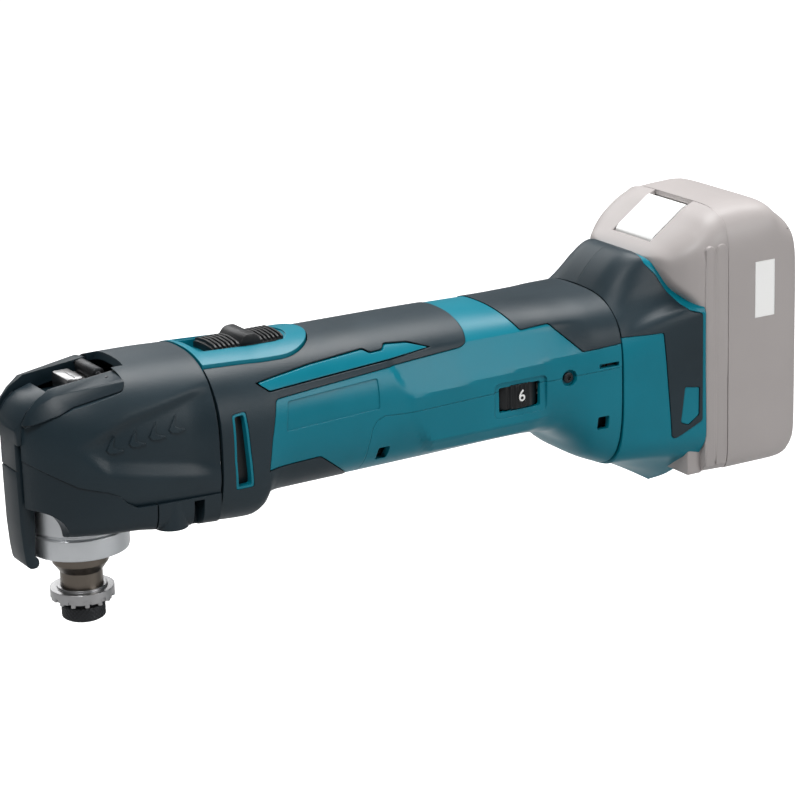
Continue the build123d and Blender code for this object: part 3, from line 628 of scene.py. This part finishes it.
def lever_plate():
    """The long plate in front of the collar, with a hook at its foot."""
    outline = [
        (-26.0, 72), (-26.0, 50), (-25.8, 34), (-25.2, 24.5), (-24.4, 18.6), (-23.0, 16.9), (-20.2, 16.9),
        (-19.2, 18.4), (-19.4, 20.4), (-20.9, 21.8), (-20.0, 31), (-19.6, 45), (-19.6, 60), (-22.6, 68),
        (-22.6, 72),
    ]
    plate = prism(rounded(outline, 1.0, 2), -6.8, 6.8)
    cut(plate, prism(rectangle(-26.9, -25.6, *MARK_Z), -9, 9))
    return edge_bevel(plate, 0.8)


def build_lever():
    """The fork over the head's front corner and the long plate in front of the collar."""
    arms = lever_arms()
    lever = add(arms, lever_web(), lever_plate())
    piece(lever, "lock_lever_skin", "lever", "dark_plastic", "lock_lever")
    mark = join([block(-23.4, -20.4, side * 6.75 - 0.12, side * 6.75 + 0.12, *MARK_Z) for side in (-1, 1)])
    piece(mark, "lever_setting_mark", "lever", "white_plastic")

    # Hinge barrel with the cam between the arms, on its pin.
    barrel = edge_bevel(prism(circle(2.7, PIVOT[0], 87.0, 40), -7.8, 7.8), 0.4)
    pin = prism(circle(1.1, PIVOT[0], 87.0, 24), -15.5, 15.5)
    piece(join([barrel, pin]), "lever_cam_barrel", "lever", "black_steel", "lever_cam", "lever_pivot_pin")


def build_crosshead():
    """Steel crosshead with a grooved top, on its shaft."""
    head = edge_bevel(block(-4.0, 3.0, -7.0, 7.0, 80.8, 87.2), 0.9)
    cut(head, block(-0.7, -0.3, -12, 12, 86.9, 90))
    tail = block(0, 12.5, -7.4, 7.4, 82.3, 85.2)
    profile = [
        (0, 22.6), (5.4, 22.6), (5.4, 30), (3.4, 30), (3.4, 78.0), (6.2, 78.0), (6.2, 78.9), (3.4, 78.9),
        (3.4, 82), (0, 82),
    ]
    piece(join([head, tail, lathe(profile, 48)]), "clamp_crosshead", "clamp", "steel", "clamp_shaft")


# ---- Handle ----------------------------------------------------------------------------------
# Side outlines, x and z, of the rubber pieces, the stripe, the air inlet and the lower half.
FRONT_GRIP = [
    (30, 0), (80, 0), (78.6, 26), (74.0, 29.4), (67.4, 35.6), (65.2, 45.8), (66.6, 57), (70.0, 72.0),
    (120, 75.2), (153.6, 77.2), (156.4, 78.4), (157.8, 82.4), (158.4, 100), (30, 110),
]
REAR_GRIP = [(175.6, 110), (176.6, 88), (182.0, 79.2), (195.0, 79.8), (206.6, 67.8), (240, 69.4), (240, 110)]
BELLY = [(79.6, 0), (78.2, 26.6), (67.2, 36.6), (65.2, 45.0), (88.3, 45.8), (104.5, 33.4), (108, 0)]
INLAY = [
    (64.6, 78.2), (68.4, 75.2), (122, 77.9), (139.6, 79.3), (132, 81.6), (122.4, 82.3), (120.6, 80.7),
    (114.8, 80.5), (112.4, 82.0), (88, 80.6),
]
VENT = [(51.0, 40.2), (50.2, 52.0), (50.4, 69.8), (56.4, 70.2), (57.4, 55.0), (58.8, 40.2)]
LOWER = [
    (108.8, 0), (109.6, 46), (110.8, 52.8), (112.6, 55.8), (116.0, 57.2), (126, 56.4), (240, 59.2), (240, 0),
]


def panel_outline(grow):
    """Plan of the switch panel: straight sides and a round rear end."""
    half = 19.4 + grow
    turns = [math.radians(a) for a in range(-90, 91, 6)]
    end = [(78.0 + half * math.cos(t), half * math.sin(t)) for t in turns]
    return end + [(HANDLE_START, half), (HANDLE_START, -half)]


# Screw pockets in the handle's flanks: x, upper edge, depth of the floor from the middle.
POCKETS = ((117.0, 44.0, 20.6), (215.8, 39.4, 27.4))
# Upright screws that join the halves: x, distance from the middle, foot of the head.
UPRIGHT_SCREWS = ((119.0, 22.6, 43.6), (214.0, 24.4, 36.4))


def flanks(outline, inner=14):
    """The outline's prisms on both sides of the handle."""
    return [prism(outline, side * 40 - (40 - inner), side * 40 + (40 - inner)) for side in (-1, 1)]


def build_grips():
    """The three rubber pieces, a little proud of the plastic."""
    rubber = bar_shell(HANDLE, HANDLE_START, HANDLE_END, RUBBER_PROUD, shape=handle_shape)
    grip = within(copy_of(rubber), prism(rounded(FRONT_GRIP, 1.5)))
    cut(grip, plan_prism(panel_outline(SEAM_GAP), 70, 110))
    cut(grip, *flanks(rounded(grown(INLAY, 0.6), 0.8)))
    cut(grip, *flanks(rounded(VENT, 1.2)))
    piece(grip, "front_grip_skin", "housing", "dark_rubber", "front_grip")
    rear = within(copy_of(rubber), prism(rounded(REAR_GRIP, 0.8)))
    piece(rear, "rear_grip_skin", "housing", "dark_rubber", "rear_grip")
    belly = within(copy_of(rubber), prism(rounded(BELLY, 1.2)))
    piece(belly, "belly_strip_skin", "housing", "dark_rubber", "belly_strip")
    remove(rubber)


def build_side_trim():
    """Stripes let into the front rubber, and the air inlets' rims with a screen behind."""
    inlays = join([
        within(bar_shell(HANDLE, 60, 145, 0.35, 2.0), tool) for tool in flanks(rounded(INLAY, 0.8))
    ])
    piece(inlays, "side_inlay_stripes", "housing", "teal_plastic", "side_inlays")
    frames = join([
        cut(within(bar_shell(HANDLE, 48, 62, 0.1, 4.2), tool), *flanks(rounded(grown(VENT, -1.1), 0.9)))
        for tool in flanks(rounded(grown(VENT, -0.12), 1.2))
    ])
    screens = [
        within(bar_shell(HANDLE, 48, 62, -3.0, 1.0), tool)
        for tool in flanks(rounded(grown(VENT, -0.9), 0.9))
    ]
    piece(frames, "vent_frame_rims", "housing", "teal_plastic", "vent_frames")
    piece(join(screens), "vent_screens", "housing", "black_plastic")


def cut_recesses(plastic):
    """Window of the speed wheel, blank name plates, screw recesses, slots and pockets."""
    hole = rounded(rectangle(168.0, 187.2, 48.8, 58.9), 0.8)
    cut(plastic, prism(hole, -FAR, -20))
    recess = prism(rounded(rectangle(165.6, 190.0, 46.4, 61.0), 2.4), -FAR, -30.4)
    cut(plastic, recess)
    plate = rounded([(73.2, 59.0), (75.0, 70.2), (114.6, 72.0), (114.2, 60.4)], 1.0)
    for side in (-1, 1):
        tool = within(prism(plate, side * 45 - 20, side * 45 + 20), bar_shell(HANDLE, 68, 120, 5.0, 5.45))
        cut(plastic, tool)
        cut(plastic, prism(circle(3.4, *SIDE_SCREW, 32), side * 45 - 15, side * 45 + 15))
        slot = rounded(rectangle(213.6, 222.8, 59.6, 61.4), 0.4)
        cut(plastic, prism(slot, side * 46 - 15, side * 46 + 15))
        for x, z, depth in POCKETS:
            pocket = rounded(rectangle(x - 2.6, x + 2.6, z - 5.6, z), 0.8)
            cut(plastic, prism(pocket, side * (depth + 15) - 15, side * (depth + 15) + 15))


def build_housings():
    """Plastic left over between the rubber pieces, split at the stepped seam."""
    plastic = bar_shell(HANDLE, HANDLE_START, HANDLE_END, 0.0, shape=handle_shape)
    for outline, radius in ((FRONT_GRIP, 1.5), (REAR_GRIP, 0.8), (BELLY, 1.2)):
        cut(plastic, prism(rounded(grown(outline, SEAM_GAP), radius)))
    cut_recesses(plastic)
    upper = copy_of(plastic)
    cut(upper, prism(grown(LOWER, 0.14)))
    piece(upper, "upper_housing_skin", "housing", "teal_plastic", "upper_housing", angle=13)
    within(plastic, prism(LOWER))
    piece(plastic, "lower_housing_skin", "housing", "teal_plastic", "lower_housing", angle=13)


def build_recess_floors():
    backs, dishes = [], []
    for side in (-1, 1):
        backs.append(block(212, 223, side * 29.6 - 0.6, side * 29.6 + 0.6, 58.6, 62.4))
        for x, z, depth in POCKETS:
            backs.append(block(x - 3.0, x + 3.0, side * depth - 0.8, side * depth + 0.8, z - 5.0, z + 0.8))
        dish = prism(circle(4.0, *SIDE_SCREW, 32), side * 30.0 - 0.7, side * 30.0 + 0.7)
        dishes.append(edge_bevel(dish, 0.3))
    piece(join(backs), "housing_recess_floors", "housing", "black_plastic")
    piece(join(dishes), "side_screw_seats", "housing", "teal_plastic")


def build_housing_screws():
    """A screw with a hexagon socket in each side, and two upright ones below each side."""
    screws = []
    for side in (-1, 1):
        screw = prism(circle(2.2, *SIDE_SCREW, 32), side * 30.9 - 0.9, side * 30.9 + 0.9)
        edge_bevel(screw, 0.4)
        cut(screw, prism(circle(1.1, *SIDE_SCREW, 6), side * 31.9 - 0.9, side * 31.9 + 0.9))
        screws.append(screw)
    for x, y, z in UPRIGHT_SCREWS:
        profile = [(0, z), (2.5, z), (2.5, z + 1.8), (1.6, z + 1.8), (1.6, 55), (0, 55)]
        screws += [lathe(profile, 24, x, side * y) for side in (-1, 1)]
    piece(join(screws), "housing_screw_set", "housing", "black_steel", "housing_screws")


def build_handle():
    build_grips()
    build_side_trim()
    build_housings()
    build_recess_floors()
    build_housing_screws()
    ring = bar_shell(HANDLE, 219.0, CARRIER_START, -2.9, 1.6)
    piece(ring, "isolator_band", "housing", "black_rubber", "isolator_ring")


def build_switch():
    """Raised panel with a tray, and the ribbed slide in it."""
    panel = within(bar_shell(HANDLE, HANDLE_START, 99, 1.2, 4.3), plan_prism(panel_outline(-0.2), 70, 110))
    half = 9.4
    turns = [math.radians(a) for a in range(-90, 91, 9)]
    end = [(80.4 + half * 0.75 * math.cos(t), half * math.sin(t)) for t in turns]
    slot = end + [(49.0, half), (49.0, -half)]
    ledge = rounded(grown(slot, 1.7), 2.5)
    cut(panel, plan_prism(slot, 60, 110))
    step = within(plan_prism(ledge, 80, 110), bar_shell(HANDLE, 44.8, 99, 5.0, 4.4))
    cut(panel, step)
    tray = within(bar_shell(HANDLE, 47, 92, -2.6, 1.4), plan_prism(grown(slot, 0.8), 70, 110))
    piece(join([panel, tray]), "switch_panel_skin", "housing", "teal_plastic", "switch_panel")

    ribs = []
    top = [(-8.6, 86.6), (-8.6, 89.4), (-6.4, 90.2), (0, 90.7), (6.4, 90.2), (8.6, 89.4), (8.6, 86.6)]
    base = [(-8.8, 85.9), (-8.8, 88.2), (-6, 89.0), (0, 89.3), (6, 89.0), (8.8, 88.2), (8.8, 85.9)]
    ribs.append(edge_bevel(end_prism(base, 55.6, 85.6), 0.4))
    for k in range(6):
        ribs.append(edge_bevel(end_prism(top, 56.4 + 1.85 * k, 57.5 + 1.85 * k), 0.25))
        ribs.append(edge_bevel(end_prism(top, 75.8 + 1.75 * k, 76.8 + 1.75 * k), 0.25))
    saddle = [
        (66.2, 87), (66.6, 89.4), (68.4, 91.6), (70.0, 92.3), (72.8, 92.3), (74.2, 91.6), (75.8, 89.4),
        (76.2, 87),
    ]
    ribs.append(edge_bevel(prism(rounded(saddle, 0.6, 2), -8.8, 8.8), 1.1))
    piece(join(ribs), "switch_slide", "switch", "black_plastic", "switch_slider")


def digit_mesh(character):
    """One digit as a thin solid that lies flat."""
    curve = bpy.data.curves.new("digit", "FONT")
    curve.body = character
    curve.size = 6.6
    curve.extrude = 0.12
    curve.offset = 0.02
    curve.align_x, curve.align_y = "CENTER", "CENTER"
    text = bpy.data.objects.new("digit", curve)
    bpy.context.scene.collection.objects.link(text)
    bpy.context.view_layer.update()
    depsgraph = bpy.context.evaluated_depsgraph_get()
    mesh = bpy.data.meshes.new_from_object(text.evaluated_get(depsgraph))
    remove(text)
    return mesh


def build_dial():
    """Fluted wheel with smooth lands for the digits 1 to 6."""
    flutes, rim, root = 40, 14.05, 13.5
    outline = []
    for k in range(flutes * 4):
        radius = rim if k % 4 in (0, 1) else root
        turn = 2 * math.pi * k / (flutes * 4)
        if k // 4 % 8 < 3:
            radius = rim
        outline.append((DIAL[0] + radius * math.cos(turn), DIAL[1] + radius * math.sin(turn)))
    wheel = edge_bevel(plan_prism(outline, 49.4, 59.2), 0.25)
    cut(wheel, plan_prism(circle(2.05, DIAL[0], DIAL[1], 32), 40, 70))
    piece(wheel, "speed_wheel", "dial", "black_plastic", "speed_dial")
    digits = []
    for k, character in enumerate("654321"):
        mesh = digit_mesh(character)
        turn = Matrix.Translation(DIAL) @ Matrix.Rotation(math.radians(2 + 50 * k), 4, "Z")
        mesh.transform(turn @ Matrix.Translation((0, -14.08, 0)) @ Matrix.Rotation(math.pi / 2, 4, "X"))
        digit = bpy.data.objects.new("digit", mesh)
        bpy.context.scene.collection.objects.link(digit)
        digits.append(digit)
    piece(join(digits), "speed_wheel_digits", "dial", "white_plastic")


# ---- Battery carrier -----------------------------------------------------------------------------
# Round one half from the top: points at the front rim, halfway and at the rear flange.
CARRIER = [
    ((0.0, 86.0), (237.2, 0.0, 98.0), (246.8, 0.0, 97.2)),
    ((10.0, 85.5), (237.4, 11.0, 97.8), (246.8, 11.0, 97.2)),
    ((17.4, 84.2), (238.8, 18.6, 95.6), (247.2, 18.6, 96.6)),
    ((22.0, 82.2), (240.2, 22.6, 89.8), (249.4, 22.6, 92.4)),
    ((26.2, 79.2), (241.2, 25.8, 82.8), (253.8, 25.6, 84.8)),
    ((29.4, 76.0), (244.0, 30.0, 78.0), (258.4, 30.8, 80.2)),
    ((31.8, 71.4), (245.0, 34.8, 75.6), (262.4, 36.8, 78.2)),
    ((33.2, 66.0), (244.0, 36.0, 70.4), (262.4, 38.0, 76.0)),
    ((34.0, 57.5), (244.0, 36.4, 55.0), (262.4, 38.0, 56.0)),
    ((33.9, 42.0), (244.0, 36.4, 40.0), (262.6, 38.0, 38.0)),
    ((32.4, 28.0), (243.0, 35.8, 26.4), (262.8, 37.9, 25.0)),
    ((27.8, 18.6), (242.0, 31.4, 18.0), (262.0, 34.4, 16.4)),
    ((20.0, 14.2), (241.0, 23.0, 13.0), (261.0, 25.0, 9.4)),
    ((9.0, 12.9), (240.4, 10.6, 8.2), (260.6, 11.0, 0.4)),
    ((0.0, 12.7), (240.4, 0.0, 6.4), (260.4, 0.0, -4.8)),
]
# Side outlines, x and z, of the carrier's rubber and of the bare patch in it.
CARRIER_RUBBER = [
    (200, 70.6), (243.2, 70.4), (246.8, 25.8), (248.6, 25.2), (260.6, 31.0), (260.8, 75.8), (255.6, 77.4),
    (251.2, 84.0), (247.8, 90.8), (243.8, 95.6), (243.0, 120), (200, 120),
]
CARRIER_INSET = [(252.4, 46.4), (250.4, 31.4), (254.0, 29.8), (259.2, 33.4), (259.4, 45.4)]


def carrier_rings(shift, wall):
    """Rings of points from the front rim to the rear flange, for one thickness."""
    count = RING // 2
    keys = []
    for index, (front, middle, rear) in enumerate(CARRIER):
        keys.append((index, CARRIER_START, *front, *middle, *rear))
    samples = [interpolate(keys, t) for t in np.linspace(0, len(CARRIER) - 1, 400)]
    front = even([s[0:3] for s in samples], count)
    middle = even([s[3:6] for s in samples], count)
    rear = even([s[6:9] for s in samples], count)
    rings = []
    for k in range(17):
        t = k / 16
        half = []
        for a, m, b in zip(front, middle, rear):
            control = 2 * m - (a + b) / 2
            half.append((1 - t) ** 2 * a + 2 * t * (1 - t) * control + t * t * b)
        left = [(p[0], -p[1], p[2]) for p in half[1:-1][::-1]]
        rings.append([tuple(p) for p in half] + left)
    points = np.array(rings)
    along = np.gradient(points, axis=0)
    around = (np.roll(points, -1, axis=1) - np.roll(points, 1, axis=1)) / 2
    normals = np.cross(around, along)
    normals /= np.linalg.norm(normals, axis=2, keepdims=True)
    outward = points - np.array([0, 0, 50.0])
    if (normals[:, :, 1:] * outward[:, :, 1:]).sum() < 0:
        normals = -normals
    normals[:, :, 0] *= 0.3
    return points + normals * shift, points + normals * (shift - wall)


def carrier_shell(shift=0.0, wall=WALL):
    outer, inner = carrier_rings(shift, wall)
    return loft([list(r) for r in outer] + [list(r) for r in inner[::-1]], closed=False)


def carrier_floor():
    """Wall across the carrier's rear, with an opening for the terminal block."""
    inside = loft([list(r) for r in carrier_rings(-WALL, 1.0)[0]])
    floor = within(inside, block(250.6, 254.4, -FAR, FAR, -30, 74.5))
    return cut(floor, block(240, 260, -16, 16, 30, 66))


def build_carrier():
    plastic = carrier_shell()
    rubber_zone = prism(rounded(CARRIER_RUBBER, 1.0))
    within(rubber_zone, block(150, 300, -FAR, FAR, -30, 130))
    cut(rubber_zone, prism(rounded(CARRIER_INSET, 0.9)))
    groove = 0.25
    grow_zone = prism(rounded(grown(CARRIER_RUBBER, groove), 1.0))
    cut(grow_zone, prism(rounded(grown(CARRIER_INSET, -groove), 0.9)))
    rubber = within(carrier_shell(0.35, 1.8), rubber_zone)
    cut(plastic, grow_zone)
    add(plastic, carrier_shell(-1.0, 1.8))
    add(plastic, carrier_floor())
    for y0, y1, side in ((-FAR, -0.06, "left"), (0.06, FAR, "right")):
        half = block(200, 300, y0, y1, -30, 130)
        shell = within(copy_of(plastic), copy_of(half))
        piece(shell, f"carrier_{side}", "housing", "teal_plastic", f"rear_housing_{side}")
        cushion = within(copy_of(rubber), half)
        piece(cushion, f"carrier_cushion_{side}", "housing", "dark_rubber", f"rear_cushion_{side}")
    remove(plastic)
    remove(rubber)


# ---- Battery ----------------------------------------------------------------------------------------
# Stations, as above, of the battery's sloping front, of its front block and of its rear case.
NOSE = [
    (247.2, 17.0, 95.5, 97.6, 96.6, 3.0, 3.0),
    (249.0, 24.6, 91.0, 99.4, 95.0, 3.6, 3.0),
    (253.0, 30.4, 84.0, 102.4, 90.0, 4.2, 3.4),
    (258.0, 34.8, 79.0, 106.0, 86.0, 4.8, 4.0),
    (262.6, 36.8, 70.0, 109.2, 84.0, 5.2, 5.0),
    (268.0, 37.2, 40.0, 113.0, 84.0, 5.4, 7.0),
    (272.0, 37.4, 30.0, 115.0, 84.0, 5.4, 8.0),
    (274.2, 37.5, 30.0, 116.0, 84.0, 5.6, 8.0),
]
PACK = [
    (262.9, 37.2, 6.6, 104.0, 60.0, 11.0, 16.0),
    (273.8, 37.2, 6.2, 104.8, 60.0, 11.0, 16.0),
]
CASE = [
    (274.0, 37.5, 6.0, 116.0, 70.0, 5.6, 16.0),
    (286.0, 37.5, 6.0, 116.6, 70.0, 5.8, 16.0),
    (297.0, 37.5, 6.0, 115.6, 70.0, 7.4, 16.0),
    (303.0, 37.4, 6.4, 111.4, 70.0, 6.6, 16.0),
    (307.6, 37.0, 9.0, 107.4, 68.0, 6.8, 14.0),
    (309.4, 36.0, 11.6, 104.4, 66.0, 7.0, 12.0),
    (310.0, 34.8, 13.6, 102.4, 66.0, 7.0, 10.0),
]


def build_battery():
    rear = bar(CASE, 274.2, 310.0, 0.0, 1.5)
    cut(rear, bar(CASE, 273, 307, -2.2, 4))
    piece(rear, "battery_rear_shell", "battery", "pale_plastic", "battery_rear_case")
    build_battery_front()
    build_button()


def battery_rib(x0, x1, side):
    """One upright rib with a round top on the battery's side."""
    middle, half = (x0 + x1) / 2, (x1 - x0) / 2
    turns = [math.radians(a) for a in range(0, 181, 15)]
    arc = [(middle + half * math.cos(t), 100.5 + half * math.sin(t)) for t in turns]
    return edge_bevel(prism([(x1, 10)] + arc + [(x0, 10)], side * 36.5 - 0.9, side * 36.5 + 0.9), 0.5)


def build_battery_front():
    front = bar(NOSE, 247.2, 273.9, 0.0, 1.0)
    add(front, bar(PACK, 262.9, 273.9, 0.0, 2.5))
    for side in (-1, 1):
        for x0, x1 in ((263.2, 267.6), (268.4, 273.4)):
            add(front, battery_rib(x0, x1, side))
    # The part that slides into the carrier, with two slots for its contacts.
    tongue = edge_bevel(block(256.2, 263.6, -34.0, 34.0, 6.6, 79.0), 1.0)
    for y in (-9, 9):
        cut(tongue, block(250, 262, y - 1.4, y + 1.4, 0, 62))
    add(front, tongue)
    # The button's opening, deep enough behind for its 3 mm of travel.
    room = [(250, 93), (252.6, 100.1), (252.2, 103.6), (271.0, 118), (275.0, 118), (275.0, 105), (265.0, 97)]
    cut(front, prism(room, -13.3, 13.3))
    cut(front, block(263.0, 290, -32, 32, 14, 84))
    piece(front, "battery_front_shell", "battery", "pale_plastic", "battery_front_case")


def build_button():
    """Release button, with a low step behind that slides under the rear case."""
    outline = [
        (253.6, 98.6), (253.6, 102.4), (255.0, 104.2), (269.2, 114.2), (270.8, 114.8), (271.0, 113.3),
        (275.8, 113.3), (275.8, 111.0), (272.8, 108.0), (263.0, 98.6),
    ]
    button = edge_bevel(prism(rounded(outline, 0.4, 3), -12.9, 12.9), 0.5, 3)
    piece(button, "battery_release_button", "battery_release", "white_plastic", "battery_button")


# ---- Holder bolt ---------------------------------------------------------------------------------------
def knurled_head():
    """Head of the holder bolt, with a diamond knurl round it."""
    steps, levels = 180, 15
    bottom, height, radius, relief = -8.0, 5.2, 8.2, 0.13
    rings = [[(x, y, -8.6) for x, y in circle(7.0, steps=steps)]]
    for i in range(levels):
        z = bottom + height * i / (levels - 1)
        ring = []
        for k in range(steps):
            turn = 2 * math.pi * k / steps
            wave = math.cos(30 * turn + 3.6 * z) + math.cos(30 * turn - 3.6 * z)
            inside = 0 < i < levels - 1
            here = radius + (relief * wave if inside else -0.25)
            ring.append((here * math.cos(turn), here * math.sin(turn), z))
        rings.append(ring)
    return loft(rings)


def build_bolt():
    """Bolt with a knurled head, a hexagon recess and a grooved shank."""
    head = cut(knurled_head(), plan_prism(circle(3.4, steps=6), -12, -5.0))
    profile = [
        (0, -3), (6.4, -3), (6.4, -1.7), (4.0, -1.7), (4.0, 12.6), (3.1, 12.8), (3.1, 14.0), (4.0, 14.2),
        (4.0, 17.5), (2.6, 19.3), (0, 19.3),
    ]
    bolt = join([head, lathe(profile, 64)])
    piece(bolt, "holder_bolt_knurled", "holder", "black_steel", "holder_bolt", angle=40)


build_head()
build_lever()
build_crosshead()
build_handle()
build_switch()
build_dial()
build_carrier()
build_battery()
build_bolt()

# The remaining CAD pieces take the material of their slot.
SLOTS = {entry["node"]: entry["material_slot"] for entry in frame["record"]["subparts"]}
for node, obj in frame["nodes"].items():
    obj.data.materials.clear()
    obj.data.materials.append(MATERIALS[SLOTS[node]])


# ---- Stage, light and camera ----------------------------------------------------------------------------
def area_light(name, place, aim, size, power):
    light = bpy.data.lights.new(name, "AREA")
    light.energy, light.size = power, size
    obj = bpy.data.objects.new(name, light)
    obj.location = place
    obj.rotation_euler = (Vector(aim) - Vector(place)).to_track_quat("-Z", "Y").to_euler()
    bpy.context.scene.collection.objects.link(obj)


def seen_brighter(tree, socket, lit, seen):
    """Drives a strength: one value for the light it gives, one for what the camera sees."""
    path = tree.nodes.new("ShaderNodeLightPath")
    span = tree.nodes.new("ShaderNodeMapRange")
    span.inputs["To Min"].default_value, span.inputs["To Max"].default_value = lit, seen
    tree.links.new(path.outputs["Is Camera Ray"], span.inputs["Value"])
    tree.links.new(span.outputs["Result"], socket)


def build_floor():
    """Large pale floor below the battery, which the camera sees almost white."""
    reach, depth = 6.0, -0.052
    corners = [(x, y, depth) for x, y in rectangle(-reach, reach, -reach, reach)]
    mesh = bpy.data.meshes.new("floor")
    mesh.from_pydata(corners, [], [(0, 1, 2, 3)])
    floor = bpy.data.objects.new("floor", mesh)
    paint = new_material("floor_paint", (0.45, 0.45, 0.45), 0.7, grain=60, bump=0.0, cloud=0.01, edge_highlight=0.0)
    bsdf = paint.node_tree.nodes["Principled BSDF"]
    seen_brighter(paint.node_tree, bsdf.inputs["Emission Strength"], 0.0, 0.9)
    bsdf.inputs["Emission Color"].default_value = (1, 1, 1, 1)
    mesh.materials.append(paint)
    bpy.context.scene.collection.objects.link(floor)


def build_world():
    world = bpy.data.worlds.new("studio")
    world.use_nodes = True
    background = world.node_tree.nodes["Background"]
    background.inputs["Color"].default_value = (1, 1, 1, 1)
    seen_brighter(world.node_tree, background.inputs["Strength"], 0.2, 0.96)
    bpy.context.scene.world = world
    bpy.context.scene.view_settings.view_transform = "Standard"


def build_lights():
    """Four soft lights, each aimed at the middle of the object: metres and watts."""
    middle = (0.14, 0, 0.06)
    area_light("key", (-0.45, -0.5, 1.1), middle, 0.5, 9)
    area_light("top", (0.5, 0.25, 1.15), middle, 0.7, 17)
    area_light("fill", (0.75, -1.0, 0.5), middle, 0.5, 5)
    area_light("back", (0.2, 1.2, 0.8), middle, 0.8, 6)


def build_camera():
    """The camera stands at the front left, a little above, and is rolled slightly."""
    azimuth, elevation, roll = (math.radians(a) for a in (-30.02, 16.94, -1.72))
    level = math.cos(elevation)
    back = Vector((math.sin(azimuth) * level, -math.cos(azimuth) * level, math.sin(elevation)))
    right = Vector((math.cos(azimuth), math.sin(azimuth), 0))
    up = back.cross(right)
    right, up = right * math.cos(roll) + up * math.sin(roll), up * math.cos(roll) - right * math.sin(roll)
    data = bpy.data.cameras.new("camera")
    data.lens = 129.4
    camera = bpy.data.objects.new("camera", data)
    turn = Matrix((right, up, back)).transposed().to_4x4()
    camera.matrix_world = Matrix.Translation((-0.40405, -0.94305, 0.38331)) @ turn
    bpy.context.scene.collection.objects.link(camera)
    bpy.context.scene.camera = camera


build_floor()
build_world()
build_lights()
build_camera()
